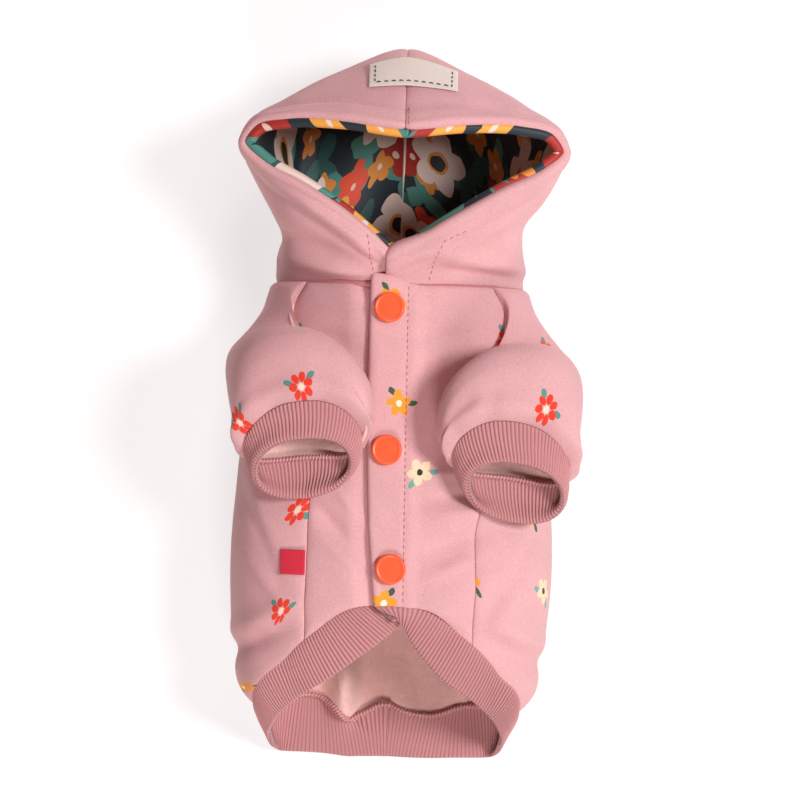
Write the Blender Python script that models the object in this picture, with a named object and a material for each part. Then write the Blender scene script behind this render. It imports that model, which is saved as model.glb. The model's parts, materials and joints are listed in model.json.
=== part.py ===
"""A small dog's hoodie lying on its back, belly up, built from its sewn pieces.

The garment is a torso tube of three panels (back, left belly, right belly), a ribbed hem band,
two raglan sleeves with ribbed cuffs, a two-piece hood with a two-piece lining, three snaps on
the front edge, a label patch on the hood and a small tab in the side seam.

Frame: metres, +Z up, +Y from the hem towards the hood, origin on the floor under the middle.
"Left" is -X and "right" is +X, as seen from above. Every cloth piece is a shell whose outer face
follows one of three surfaces: torso(angle, y), sleeve(turn, along) or hood(round, down).
"""

import math

import bmesh
import bpy
import numpy as np
from mathutils import Matrix, Vector

MM = 0.001

# Cloth and sewing
CLOTH = 2.0 * MM            # brushed double knit of the body, sleeves and hood
FACING = 1.4 * MM           # the edge turned under along the snaps
RIB = 2.4 * MM              # folded rib knit of the cuffs and the hem band
LINING = 1.0 * MM           # printed lining of the hood
PATCH = 0.8 * MM            # woven label and tab
SEAM_GAP = 0.3 * MM         # clearance between two sewn edges

# Torso
BACK_LENGTH = 192.0 * MM    # neck seam to hem seam along the side
BELLY_LENGTH = 142.5 * MM   # neck seam to hem seam along the snaps
NECK_WIDTH = 114.0 * MM
NECK_HEIGHT = 60.0 * MM
CHEST_WIDTH = 145.0 * MM
CHEST_HEIGHT = 72.0 * MM
HEM_WIDTH = 121.0 * MM      # across the hem seam
HEM_HEIGHT = 62.0 * MM
NECK_Y = 51.5 * MM          # the neck seam's place along the garment
WIDEST_SHARE = 0.44         # the widest level, as a share of the height
BELLY_ROUND = 2.5           # superellipse exponents of the section's upper and lower halves
BACK_ROUND = 2.6
FLOOR_SINK = 4.0 * MM       # how far the lower half would reach below the floor, were it not flat

# Belly opening
SIDE_SEAM_X = 37.5 * MM     # the side seams run over the belly's face, not its edge
EDGE_X = 13.0 * MM          # the upper front edge lies this far left of the middle
EDGE_LEAN = 6.0 * MM        # and runs this much towards the middle at the hem
UNDERLAP_X = 5.5 * MM       # the lower front edge lies this far right of the middle
UPPER_LIFT = 1.5 * MM       # the upper front rides above the torso's surface
LAP_STEP = 8.0 * MM         # width over which each front rises or dips into the lap
LAP_MARGIN = 1.5 * MM       # the lower front is fully dipped this far before the upper one's edge

# Snaps
SNAP_DIAMETER = 13.6 * MM
SNAP_HEIGHT = 2.2 * MM
SNAP_POST_DIAMETER = 4.0 * MM
SNAP_BACK_DIAMETER = 9.0 * MM
SNAP_BACK_HEIGHT = 1.2 * MM
SNAP_PLACES = {"top": 0.077, "middle": 0.518, "bottom": 0.884}  # down BELLY_LENGTH from the neck
SNAP_SET_BACK = 8.6 * MM    # from the upper front's edge to the snaps' line
SNAP_CLEAR = 0.35 * MM      # between a snap and the cloth it grips

# Hem band
HEM_BAND_WIDTH = 21.5 * MM
HEM_MOUTH_WIDTH = 99.0 * MM
HEM_MOUTH_HEIGHT = 70.0 * MM
HEM_LAP_CLEAR = 0.8 * MM    # between the band's two ends where they lap

# Sleeves
ARMHOLE_DEPTH = 62.0 * MM   # neck seam to underarm
SLEEVE_WIDTH = 62.0 * MM
SLEEVE_REACH = 80.0 * MM    # far edge of the cuff to the shoulder, along the garment
SLEEVE_RISE = 27.0 * MM     # top of the sleeve above the belly
SLEEVE_SET = 46.0 * MM      # middle of the sleeve from the garment's middle
SLEEVE_SWAY = 7.0 * MM      # both cuffs lie this far to the right of their shoulders' line
SLEEVE_DROP = 3.8 * MM      # the right cuff lies this much further down than the left
SLEEVE_CLEAR = 2.4 * MM     # the sleeve's underside over the belly
ROOT_CLEAR = 0.6 * MM       # the sleeve's edge over the seam

# Hood
HOOD_WIDTH = 147.0 * MM     # across the face opening's corners
HOOD_LENGTH = 105.5 * MM    # neck seam to the crown
HOOD_HEIGHT = 86.0 * MM     # floor to the brow's edge
RIM_ROLL = 2.6 * MM         # radius of the rolled edge round the face opening
RIM_TURN_IN = 3.0 * MM      # how far the edge runs back inside
THROAT_SHIFT = 2.0 * MM     # the right side of the hood laps past the middle
LINING_EASE = 2.2 * MM      # the lining hangs this far inside the hood
LINING_FROM_RIM = 4.5 * MM
LINING_FROM_NECK = 1.5 * MM

# Label and tab
LABEL_WIDTH = 39.0 * MM
LABEL_DEPTH = 20.0 * MM
LABEL_FROM_RIM = 22.5 * MM
LABEL_SHIFT = 3.0 * MM      # the patch sits a little to the right of the seam
TAB_LENGTH = 10.5 * MM
TAB_WIDTH = 11.0 * MM
TAB_Y = -73.0 * MM
PATCH_CLEAR = 0.4 * MM      # between a woven piece and the cloth below it


# Tables. Lengths are shares of the named sizes; each row is a section, a ring or a seam point.

# share of BACK_LENGTH from the neck; how far the width and height have gone from neck to chest
# size; how far they have gone from chest to hem size.
TORSO_SECTIONS = np.array([
    # at,   to_chest, to_hem
    (0.00, 0.00, 0.00),
    (0.11, 0.22, 0.00),
    (0.27, 0.62, 0.00),
    (0.50, 0.92, 0.00),
    (0.72, 1.00, 0.02),
    (0.87, 1.00, 0.26),
    (0.95, 1.00, 0.46),
    (1.00, 1.00, 1.00),
    (1.06, 1.00, 1.40),
])

# Soft folds of the body where the cloth sags. Place as shares of half CHEST_WIDTH from the middle
# and of BACK_LENGTH from the neck; direction of the run in degrees from +X; half length and half
# width as shares of CHEST_WIDTH; height as a share of FOLD_HEIGHT, negative for a dent.
FOLDS = np.array([
    # x,    y,    run, length, width, height
    (0.50, 0.52, 20.0, 0.14, 0.045, 1.0),
    (0.34, 0.62, 12.0, 0.13, 0.040, -0.8),
    (0.36, 0.71, 15.0, 0.15, 0.045, 0.9),
    (0.34, 0.80, 25.0, 0.10, 0.035, -0.7),
    (-0.36, 0.56, -55.0, 0.13, 0.040, -1.0),
    (-0.30, 0.66, -60.0, 0.14, 0.045, 0.8),
    (-0.72, 0.60, -70.0, 0.20, 0.050, 0.9),
    (-0.74, 0.86, -25.0, 0.12, 0.040, -1.2),
    (0.74, 0.90, 30.0, 0.12, 0.040, -1.2),
    (0.76, 0.66, 80.0, 0.20, 0.055, 0.8),
    (0.22, 0.20, 60.0, 0.14, 0.045, -0.7),
    (-0.34, 0.16, 100.0, 0.12, 0.045, -0.7),
])
FOLD_HEIGHT = 1.3 * MM

# degrees from the belly's middle; share of the way from BELLY_LENGTH to BACK_LENGTH
HEM_SEAM = np.array([
    # angle, share
    (0.0, 0.00),
    (10.0, 0.04),
    (23.0, 0.27),
    (37.0, 0.51),
    (52.0, 0.73),
    (70.0, 0.91),
    (90.0, 1.00),
    (135.0, 1.04),
    (180.0, 1.06),
])

# degrees from the belly's middle; the free edge's place across and up as shares of half
# HEM_MOUTH_WIDTH and HEM_MOUTH_HEIGHT, and along as a share of HEM_BAND_WIDTH past the seam's
# own y at that angle
HEM_MOUTH = np.array([
    # angle, across, up,   along
    (0.0, -0.02, 1.000, 0.30),
    (10.0, 0.12, 0.970, 0.63),
    (23.0, 0.47, 0.885, 0.86),
    (37.0, 0.77, 0.735, 0.81),
    (52.0, 0.95, 0.575, 0.70),
    (70.0, 1.04, 0.390, 0.63),
    (90.0, 1.08, 0.235, 0.68),
    (115.0, 1.05, 0.085, 0.92),
    (140.0, 0.90, 0.000, 1.00),
    (160.0, 0.47, 0.000, 1.00),
    (180.0, 0.00, 0.000, 1.00),
])

# share of ARMHOLE_DEPTH; the front and back seams of the sleeve, in degrees from the belly's middle
ARMHOLE = np.array([
    # at,  front, back
    (0.00, 43.0, 115.0),
    (0.14, 49.5, 118.0),
    (0.32, 49.0, 116.0),
    (0.50, 45.0, 106.0),
    (0.66, 41.0, 91.0),
    (0.80, 37.5, 73.0),
    (0.91, 34.0, 53.0),
    (1.00, 31.0, 31.0),
])

# A ring passes through four points: hood side, inner side, hem side and outer side.
# x: from the sleeve's middle as a share of half SLEEVE_WIDTH, outwards positive
# y: from the underarm as a share of SLEEVE_REACH, towards the hood positive
# z: above CHEST_HEIGHT as a share of SLEEVE_RISE
SLEEVE_RINGS = np.array([
    # along, sway, hood x, y, z,      inner x, y, z,        hem x, y, z,          outer x, y, z
    (0.00, 0.00, 0.30, 0.77, -1.00, 0.00, 0.38, -0.42, -0.40, 0.00, -0.25, 0.60, 0.28, -1.90),
    (0.15, 0.15, 0.30, 0.64, -0.85, -0.16, 0.28, -0.28, -0.32, -0.03, -0.20, 0.80, 0.26, -1.45),
    (0.30, 0.35, 0.26, 0.465, -0.55, -0.55, 0.18, -0.02, -0.24, -0.07, -0.16, 1.00, 0.24, -0.80),
    (0.42, 0.48, 0.22, 0.495, 0.06, -0.92, 0.12, 0.10, -0.14, -0.10, -0.13, 1.04, 0.16, -0.25),
    (0.55, 0.56, 0.12, 0.475, 0.52, -1.05, 0.08, 0.40, -0.07, -0.135, -0.12, 1.02, 0.08, 0.12),
    (0.68, 0.62, 0.06, 0.380, 0.74, -1.00, 0.02, 0.56, -0.03, -0.17, -0.12, 0.98, 0.00, 0.32),
    (0.82, 0.70, 0.02, 0.240, 0.86, -0.96, -0.04, 0.54, 0.00, -0.205, -0.12, 0.98, -0.09, 0.34),
    (0.93, 0.76, 0.00, 0.140, 0.92, -0.98, -0.09, 0.46, 0.00, -0.235, -0.11, 0.98, -0.16, 0.28),
    (1.00, 0.80, 0.00, 0.075, 0.82, -0.88, -0.14, 0.34, 0.00, -0.260, -0.09, 0.86, -0.21, 0.20),
    (1.15, 0.90, 0.00, -0.025, 0.68, -0.77, -0.23, 0.30, 0.00, -0.365, -0.10, 0.77, -0.28, 0.19),
    (1.30, 1.00, 0.02, -0.135, 0.72, -0.69, -0.28, 0.32, 0.03, -0.485, -0.09, 0.74, -0.34, 0.25),
])
CUFF_START = 1.0            # the cuff begins where the sleeve's rings reach 1
CUFF_END = 1.30
CUFF_GAP = 0.008            # half the gap between sleeve and cuff, along the rings

# The hood's meridians run from the rim over the outside to the neck seam. The first column is
# the meridian's place round the rim from the throat (0) to the brow (1) and the second is the
# neck seam's angle that it reaches. Then four points: rim, crown, base and nape.
# x: share of half HOOD_WIDTH; y: share of HOOD_LENGTH from the neck seam; z: share of HOOD_HEIGHT
HOOD_MERIDIANS = np.array([
    # at,  neck,   rim x, y, z,       crown x, y, z,      base x, y, z,       nape x, y, z
    (0.00, 0.0, 0.00, 0.100, 0.80, 0.00, 0.075, 0.785, 0.00, 0.045, 0.755, 0.00, 0.020, 0.715),
    (0.20, 26.0, 0.31, 0.250, 0.87, 0.37, 0.180, 0.830, 0.41, 0.120, 0.760, 0.41, 0.055, 0.700),
    (0.36, 50.0, 0.63, 0.375, 0.87, 0.71, 0.280, 0.740, 0.71, 0.180, 0.630, 0.69, 0.080, 0.575),
    (0.46, 70.0, 0.87, 0.460, 0.81, 0.87, 0.385, 0.620, 0.76, 0.250, 0.470, 0.740, 0.110, 0.440),
    (0.54, 90.0, 1.00, 0.560, 0.77, 0.95, 0.510, 0.520, 0.75, 0.330, 0.310, 0.755, 0.140, 0.300),
    (0.61, 112.0, 0.93, 0.660, 0.80, 0.93, 0.660, 0.500, 0.75, 0.480, 0.140, 0.710, 0.200, 0.120),
    (0.72, 138.0, 0.70, 0.705, 0.87, 0.73, 0.775, 0.540, 0.63, 0.660, 0.050, 0.550, 0.300, 0.020),
    (0.86, 158.0, 0.36, 0.700, 0.95, 0.38, 0.905, 0.570, 0.33, 0.780, 0.020, 0.290, 0.380, 0.000),
    (1.00, 180.0, 0.00, 0.668, 1.00, 0.00, 1.000, 0.550, 0.00, 0.860, 0.020, 0.000, 0.440, 0.000),
])
HOOD_COLUMN_AT = (0.0, 0.24, 0.55, 0.80, 1.0)   # rim, crown, base, nape, neck along a meridian
BROW_LEVEL = 0.7            # how nearly the two halves run into one another at the middle seam
ARMHOLE_STEPS = 9           # rows of the mesh down an armhole, the same for sleeve and panels
NECK_STEPS = 2              # columns of a sleeve along the neck seam
BACK_CORNER = 60.0          # the sleeve's turn, in degrees, where the back seam meets the neck
FRONT_CORNER = 100.0        # the same for the front seam
UNDERARM = 270.0            # where the two seams meet
BODY_STEPS = 7              # rows of the panels below the underarm


def through(at, table, column, level_end=0.0):
    """Smooth curve through a table's column: cubic pieces whose slope at a row is the mean slope
    of its two sides, and straight on past either end. level_end flattens the last row's slope."""
    knots = table[:, 0]
    values = table[:, column]
    slopes = np.gradient(values, knots)
    slopes[-1] *= 1.0 - level_end
    at = np.asarray(at, float)
    inside = np.clip(at, knots[0], knots[-1])
    row = np.clip(np.searchsorted(knots, inside, side="right") - 1, 0, len(knots) - 2)
    step = knots[row + 1] - knots[row]
    t = (inside - knots[row]) / step
    value = (
        values[row] * (1 + 2 * t) * (1 - t) ** 2
        + slopes[row] * step * t * (1 - t) ** 2
        + values[row + 1] * t * t * (3 - 2 * t)
        + slopes[row + 1] * step * t * t * (t - 1)
    )
    end_slope = np.where(at < knots[0], slopes[0], slopes[-1])
    return value + end_slope * (at - inside)


def smooth_step(t):
    """0 below 0, 1 above 1, and a smooth ramp between."""
    t = np.clip(t, 0.0, 1.0)
    return t * t * (3 - 2 * t)


# Torso

def torso_sizes(y):
    """Half width, height and widest level of the torso's section at y."""
    at = (NECK_Y - y) / BACK_LENGTH
    to_chest = through(at, TORSO_SECTIONS, 1)
    to_hem = through(at, TORSO_SECTIONS, 2)
    width = NECK_WIDTH + (CHEST_WIDTH - NECK_WIDTH) * to_chest + (HEM_WIDTH - CHEST_WIDTH) * to_hem
    height = (
        NECK_HEIGHT + (CHEST_HEIGHT - NECK_HEIGHT) * to_chest + (HEM_HEIGHT - CHEST_HEIGHT) * to_hem
    )
    return width / 2, height, height * WIDEST_SHARE


def torso(angle, y):
    """Point on the torso's outer face, angle in degrees from the belly's middle towards +X.
    The section is a superellipse, flat where it would go below the floor."""
    half, height, level = torso_sizes(y)
    a = np.radians(angle)
    across, up = np.sin(a), np.cos(a)
    power = np.where(up > 0, 2 / BELLY_ROUND, 2 / BACK_ROUND)
    x = half * np.sign(across) * np.abs(across) ** power
    above = level + (height - level) * np.abs(up) ** power
    below = level - (level + FLOOR_SINK) * np.abs(up) ** power
    z = np.where(up > 0, above, below)
    x, y, z = np.broadcast_arrays(x, y, z)
    grown = 1 + folds(x, y) * smooth_step(2 * up) / np.hypot(x, z - level)
    return np.stack([x * grown, y, np.maximum(level + (z - level) * grown, 0.0)], axis=-1)


def folds(x, y):
    """Height of the body's soft folds: a smooth ridge or dent for each row of the table."""
    height = 0.0
    for across, along, run, length, width, share in FOLDS:
        dx = x - across * CHEST_WIDTH / 2
        dy = y - (NECK_Y - along * BACK_LENGTH)
        a = math.radians(run)
        on = (dx * math.cos(a) + dy * math.sin(a)) / (length * CHEST_WIDTH)
        off = (dy * math.cos(a) - dx * math.sin(a)) / (width * CHEST_WIDTH)
        height = height + share * FOLD_HEIGHT * np.exp(-on * on - off * off)
    return height


def torso_angle(x, y):
    """The angle whose torso point lies at x, on the belly's side."""
    half, _, _ = torso_sizes(y)
    share = np.clip(np.abs(x) / half, 0.0, 1.0)
    return np.sign(x) * np.degrees(np.arcsin(share ** (BELLY_ROUND / 2)))


def hem_seam_y(angle):
    """The hem seam's place along the garment at an angle."""
    share = through(np.abs(angle), HEM_SEAM, 1)
    return NECK_Y - BELLY_LENGTH - (BACK_LENGTH - BELLY_LENGTH) * share


def armhole_angle(y, column):
    """Front (1) or back (2) seam of the sleeve at y; below the underarm, the side seam."""
    at = (NECK_Y - y) / ARMHOLE_DEPTH
    seam = through(np.clip(at, 0.0, 1.0), ARMHOLE, column)
    side = torso_angle(SIDE_SEAM_X, y)
    underarm = torso_angle(SIDE_SEAM_X, NECK_Y - ARMHOLE_DEPTH)
    return np.where(at < 1.0, seam + (underarm - ARMHOLE[-1, 1]) * np.clip(at, 0, 1) ** 4, side)


def armhole_y(down):
    """The garment's y down the armhole, 0 to 1; the steps shrink where its seams turn inwards."""
    share = 1 - (1 - np.clip(down, 0.0, 1.0)) ** 1.5
    return NECK_Y - SEAM_GAP / 2 - (ARMHOLE_DEPTH - SEAM_GAP / 2) * share


def gap_angle(y):
    """A seam gap, as an angle on the torso."""
    half, _, _ = torso_sizes(y)
    return np.degrees(SEAM_GAP / half)


def clear_of_torso(point, clearance):
    """Points moved out from the torso's axis until they stand clear of its outer face."""
    half, height, level = torso_sizes(point[..., 1])
    x, z = point[..., 0], point[..., 2] - level
    above = z > 0
    power = np.where(above, BELLY_ROUND, BACK_ROUND)
    reach = np.where(above, height - level, level + FLOOR_SINK)
    radius = ((np.abs(x) / half) ** power + (np.abs(z) / reach) ** power) ** (1 / power)
    distance = np.maximum(np.hypot(x, z), 1e-6)
    scale = np.maximum(1.0, (1 + clearance * radius / distance) / np.maximum(radius, 1e-6))
    moved = np.stack([x * scale, point[..., 1], np.maximum(level + z * scale, 0.0)], axis=-1)
    return moved


# Sleeves

def ring_point(turn, rows, first):
    """A closed curve through four points: hood side at 90 degrees, inner side at 180, hem side at
    270 and outer side at 0. It is the first two harmonics of the turn that meet all four."""
    hood, inner, hem, outer = (rows[..., first + 3 * i: first + 3 * i + 3] for i in range(4))
    a = np.radians(turn)[..., None]
    across = np.sign(np.cos(a)) * np.abs(np.cos(a)) ** 0.9
    along = np.sign(np.sin(a)) * np.abs(np.sin(a)) ** 0.9
    return (
        (hood + inner + hem + outer) / 4
        + across * (outer - inner) / 2
        + along * (hood - hem) / 2
        + np.cos(2 * a) * (outer + inner - hood - hem) / 4
    )


def sleeve_root(turn, side):
    """The seam by which the sleeve joins the torso and the hood: along the neck seam between the
    two corners, down the front seam to the underarm at 270 degrees, and up the back seam."""
    turn = np.mod(turn - BACK_CORNER, 360.0) + BACK_CORNER
    neck_share = np.clip((FRONT_CORNER - turn) / (FRONT_CORNER - BACK_CORNER), 0.0, 1.0)
    neck_angle = ARMHOLE[0, 1] + (ARMHOLE[0, 2] - ARMHOLE[0, 1]) * neck_share
    front_share = (turn - FRONT_CORNER) / (UNDERARM - FRONT_CORNER)
    back_share = (BACK_CORNER + 360.0 - turn) / (BACK_CORNER + 360.0 - UNDERARM)
    on_front = (turn > FRONT_CORNER) & (turn <= UNDERARM)
    on_back = turn > UNDERARM
    y = armhole_y(np.where(on_front, front_share, np.where(on_back, back_share, 0.0)))
    seam = np.where(on_front, armhole_angle(y, 1), armhole_angle(y, 2))
    return torso(side * np.where(on_front | on_back, seam, neck_angle), y)


def sleeve(turn, along, side):
    """Point on the outer face of a sleeve (along 0 to 1) and its cuff (1 to 1.3).
    The rings of the table are joined smoothly; near the root they ease into the armhole's seam,
    and nowhere does the sleeve sink into the belly below it."""
    turn, along = np.broadcast_arrays(np.asarray(turn, float), np.asarray(along, float))
    rows = np.stack(
        [through(along, SLEEVE_RINGS, c) for c in range(2, SLEEVE_RINGS.shape[1])], axis=-1
    )
    sway = through(along, SLEEVE_RINGS, 1)
    share = ring_point(turn, rows, 0)
    underarm_y = NECK_Y - ARMHOLE_DEPTH
    x = side * (SLEEVE_SET + share[..., 0] * SLEEVE_WIDTH / 2) + SLEEVE_SWAY * sway
    y = underarm_y + share[..., 1] * SLEEVE_REACH - side * SLEEVE_DROP * sway
    z = CHEST_HEIGHT + share[..., 2] * SLEEVE_RISE
    free = np.stack([x, y, z], axis=-1)
    root = sleeve_root(turn, side)
    ease = (1 - np.clip(1 - along / 0.30, 0.0, 1.0) ** 2)[..., None]
    point = root * (1 - ease) + free * ease
    clearance = ROOT_CLEAR + (SLEEVE_CLEAR - ROOT_CLEAR) * np.clip(along / 0.06, 0.0, 1.0)
    return clear_of_torso(point, clearance)


# Hood

def hood(round_, down):
    """Point on the hood's outer face. round_ runs from -1 (left throat) over 0 (brow) to 1 (right
    throat); down runs from 0 (rim) to 1 (neck seam) along a meridian, through the meridian's five
    points, and never below the floor."""
    round_, down = np.broadcast_arrays(np.asarray(round_, float), np.asarray(down, float))
    at = 1.0 - np.abs(round_)
    side = np.sign(round_)
    columns = []
    for point in range(4):
        first = 2 + 3 * point
        x = through(at, HOOD_MERIDIANS, first) * HOOD_WIDTH / 2
        y = NECK_Y + through(at, HOOD_MERIDIANS, first + 1, BROW_LEVEL) * HOOD_LENGTH
        z = through(at, HOOD_MERIDIANS, first + 2, BROW_LEVEL) * HOOD_HEIGHT
        columns.append(np.stack([side * x, y, z], axis=-1))
    neck_angle = side * through(at, HOOD_MERIDIANS, 1)
    columns.append(torso(neck_angle, NECK_Y + 0 * at) + (0, SEAM_GAP / 2, 0))
    stations = np.array(HOOD_COLUMN_AT)
    points = np.stack(columns, axis=0)
    slopes = np.gradient(points, stations, axis=0)
    row = np.clip(np.searchsorted(stations, down, side="right") - 1, 0, len(stations) - 2)
    step = (stations[row + 1] - stations[row])[..., None]
    t = ((down - stations[row]))[..., None] / step

    def pick(values, index):
        return np.take_along_axis(values, index[None, ..., None], axis=0)[0]

    point = (
        pick(points, row) * (1 + 2 * t) * (1 - t) ** 2
        + pick(slopes, row) * step * t * (1 - t) ** 2
        + pick(points, row + 1) * t * t * (3 - 2 * t)
        + pick(slopes, row + 1) * step * t * t * (t - 1)
    )
    point[..., 0] -= THROAT_SHIFT * smooth_step((np.abs(round_) - 0.7) / 0.3)
    point[..., 2] = np.maximum(point[..., 2], 0.0)
    return point


# Shells

def normals_of(surface, first, second, step=(0.4, 0.4 * MM)):
    """Outward unit normals of a surface by small steps in both parameters."""
    along_first = surface(first + step[0], second) - surface(first - step[0], second)
    along_second = surface(first, second + step[1]) - surface(first, second - step[1])
    normal = np.cross(along_first, along_second)
    return normal / np.maximum(np.linalg.norm(normal, axis=-1, keepdims=True), 1e-12)


def grid_faces(points, around):
    """Triangles of a grid of points, numbered row by row, each cell cut along its shorter
    diagonal."""
    rows, columns = points.shape[:2]
    flat = points.reshape(-1, 3)
    faces = []
    last = columns if around else columns - 1
    for i in range(rows - 1):
        for j in range(last):
            k = (j + 1) % columns
            a, b = i * columns + j, i * columns + k
            c, d = b + columns, a + columns
            if np.linalg.norm(flat[a] - flat[c]) < np.linalg.norm(flat[b] - flat[d]):
                faces += [(a, b, c), (a, c, d)]
            else:
                faces += [(a, b, d), (b, c, d)]
    return faces


def shell(name, outer, inner, material, around=False):
    """A closed wall between two grids of points, joined along their borders."""
    rows, columns = outer.shape[:2]
    count = rows * columns
    faces = grid_faces(outer, around)
    faces += [(count + c, count + b, count + a) for a, b, c in faces]
    last = columns if around else columns - 1
    for j in range(last):
        k = (j + 1) % columns
        end = (rows - 1) * columns
        faces.append((j, count + j, count + k, k))
        faces.append((end + j, end + k, count + end + k, count + end + j))
    if not around:
        for i in range(rows - 1):
            a, b = i * columns, (i + 1) * columns
            faces.append((a, b, count + b, count + a))
            a, b = a + columns - 1, b + columns - 1
            faces.append((a, count + a, count + b, b))
    points = np.concatenate([outer.reshape(-1, 3), inner.reshape(-1, 3)])
    return solid(name, points, faces, material)


def solid(name, points, faces, material):
    """A mesh object from points and faces, its faces turned outwards and shaded smooth."""
    mesh = bpy.data.meshes.new(name)
    mesh.from_pydata([tuple(p) for p in points], [], faces)
    bm = bmesh.new()
    bm.from_mesh(mesh)
    bmesh.ops.recalc_face_normals(bm, faces=bm.faces)
    bm.to_mesh(mesh)
    bm.free()
    mesh.shade_smooth()
    mesh.set_sharp_from_angle(angle=math.radians(50))
    mesh.materials.append(material)
    thing = bpy.data.objects.new(name, mesh)
    bpy.context.scene.collection.objects.link(thing)
    return thing


def material(name, colour, roughness, sheen=0.0):
    """A Principled material of one colour."""
    made = bpy.data.materials.new(name)
    made.use_nodes = True
    shader = made.node_tree.nodes["Principled BSDF"]
    shader.inputs["Base Color"].default_value = (*colour, 1.0)
    shader.inputs["Roughness"].default_value = roughness
    shader.inputs["Metallic"].default_value = 0.0
    shader.inputs["Sheen Weight"].default_value = sheen
    made.diffuse_color = (*colour, 1.0)
    return made


# Pieces


def edge_x(y):
    """The upper front's free edge: left of the middle, leaning towards it at the hem."""
    at = np.clip((NECK_Y - y) / BELLY_LENGTH, 0.0, 1.0)
    return -(EDGE_X - EDGE_LEAN * at**3)


def upper_lift(x, y):
    """How far the upper front rides above the torso at x."""
    return UPPER_LIFT * (1 - smooth_step((x - UNDERLAP_X) / LAP_STEP))


def lower_lift(x, y):
    """How far the lower front dips below the torso at x, to pass under the upper one."""
    dip = CLOTH + FACING + SEAM_GAP - UPPER_LIFT
    return -dip * smooth_step((x - (edge_x(y) - LAP_MARGIN - LAP_STEP)) / LAP_STEP)


def panel(name, left, right, lift, thickness, cloth, columns):
    """A panel of the torso between two side curves, from the neck seam to the hem seam.
    left and right give an angle at y; lift and thickness are functions of x and y.
    Its rows meet the sleeves' along the armhole. Returns the object and its angles at the hem."""
    across = np.linspace(0.0, 1.0, columns)[None, :]
    bottom = NECK_Y - BACK_LENGTH + 0 * across
    for _ in range(8):
        bottom = hem_seam_y(wrap(left(bottom) + (right(bottom) - left(bottom)) * across))
    armhole = armhole_y(np.linspace(0.0, 1.0, ARMHOLE_STEPS + 1))[:, None] + 0 * across
    down = np.linspace(0.0, 1.0, BODY_STEPS + 1)[1:, None]
    y = np.concatenate([armhole, armhole[-1] + (bottom + SEAM_GAP / 2 - armhole[-1]) * down])
    angle = left(y) + (right(y) - left(y)) * across
    outer = torso(angle, y)
    normal = normals_of(torso, angle, y)
    raised = lift(outer[..., 0], y)[..., None]
    wall = thickness(outer[..., 0], y)[..., None]
    made = shell(name, outer + normal * raised, outer + normal * (raised - wall), cloth)
    return made, wrap(angle[-1])


def wrap(angle):
    """An angle brought into -180 to 180 degrees."""
    return np.mod(np.asarray(angle, float) + 180.0, 360.0) - 180.0


def no_lift(x, y):
    return 0.0 * x


def cloth_wall(x, y):
    return CLOTH + 0.0 * x


def faced_wall(x, y):
    """The right front is doubled by its facing from the free edge to the stitch line."""
    return CLOTH + FACING * (1 - smooth_step((x - UNDERLAP_X) / (LAP_STEP / 2)))


def make_torso(cloth):
    """The back panel wraps round the back and both sides; the two belly panels lap in front.
    Returns the two fronts and, for the hem band, the angles round the whole hem."""
    _, back = panel(
        "back_panel",
        lambda y: armhole_angle(y, 2) + gap_angle(y),
        lambda y: 360.0 - armhole_angle(y, 2) - gap_angle(y),
        no_lift, cloth_wall, cloth, columns=23,
    )
    left, left_angles = panel(
        "belly_panel_left",
        lambda y: -armhole_angle(y, 1) + gap_angle(y),
        lambda y: torso_angle(UNDERLAP_X, y),
        lower_lift, cloth_wall, cloth, columns=12,
    )
    right, right_angles = panel(
        "belly_panel_right",
        lambda y: torso_angle(edge_x(y), y),
        lambda y: armhole_angle(y, 1) - gap_angle(y),
        upper_lift, faced_wall, cloth, columns=11,
    )
    side = (right_angles[-1] + back[0]) / 2
    hem = [right_angles[:-1], [side], back[1:-1] % 360.0, [360.0 - side], left_angles[1:] + 360.0]
    return (left, right), np.concatenate(hem)


def make_hem_band(turn, rib):
    """One strip of rib from over the lap at the belly's middle, round the back, to under it.
    turn is the angle of each column of the strip; the sewn edges of the panels have the same."""
    turn = turn[None, :]
    angle = wrap(turn)
    on_right = turn < 180.0
    reach = np.where(on_right, turn, 360.0 - turn)
    size = np.abs(angle)
    seam_y = hem_seam_y(size) - SEAM_GAP / 2
    top = torso(angle, seam_y)
    torso_normal = normals_of(torso, angle, seam_y)
    lift = np.where(on_right, upper_lift(top[..., 0], seam_y), lower_lift(top[..., 0], seam_y))
    top = top + torso_normal * lift[..., None]
    side = np.where(on_right, 1.0, -1.0)
    across = side * through(reach, HEM_MOUTH, 1) * HEM_MOUTH_WIDTH / 2
    width = through(reach, HEM_MOUTH, 3)
    height = through(size, HEM_MOUTH, 2) * HEM_MOUTH_HEIGHT
    near_end = np.clip(width / through(size, HEM_MOUTH, 3), 0.0, 1.0)
    height = top[..., 2] + (height - top[..., 2]) * near_end
    under = np.where(on_right, 0.0, (RIB + HEM_LAP_CLEAR) * (1 - smooth_step(reach / 35.0)))
    mouth = np.stack([across, seam_y - width * HEM_BAND_WIDTH, height - under], axis=-1)
    share = np.linspace(0.0, 1.0, 4)[:, None, None]
    outer = top * (1 - share) + mouth * share
    outer[..., 2] = np.maximum(outer[..., 2], 0.0)
    normal = np.cross(np.gradient(outer, axis=0), np.gradient(outer, axis=1))
    normal /= np.linalg.norm(normal, axis=-1, keepdims=True)
    normal *= np.sign(np.sum(normal[0] * torso_normal[0]))
    normal[0] = torso_normal[0]
    return shell("hem_band", outer, outer - normal * RIB, rib)


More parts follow.
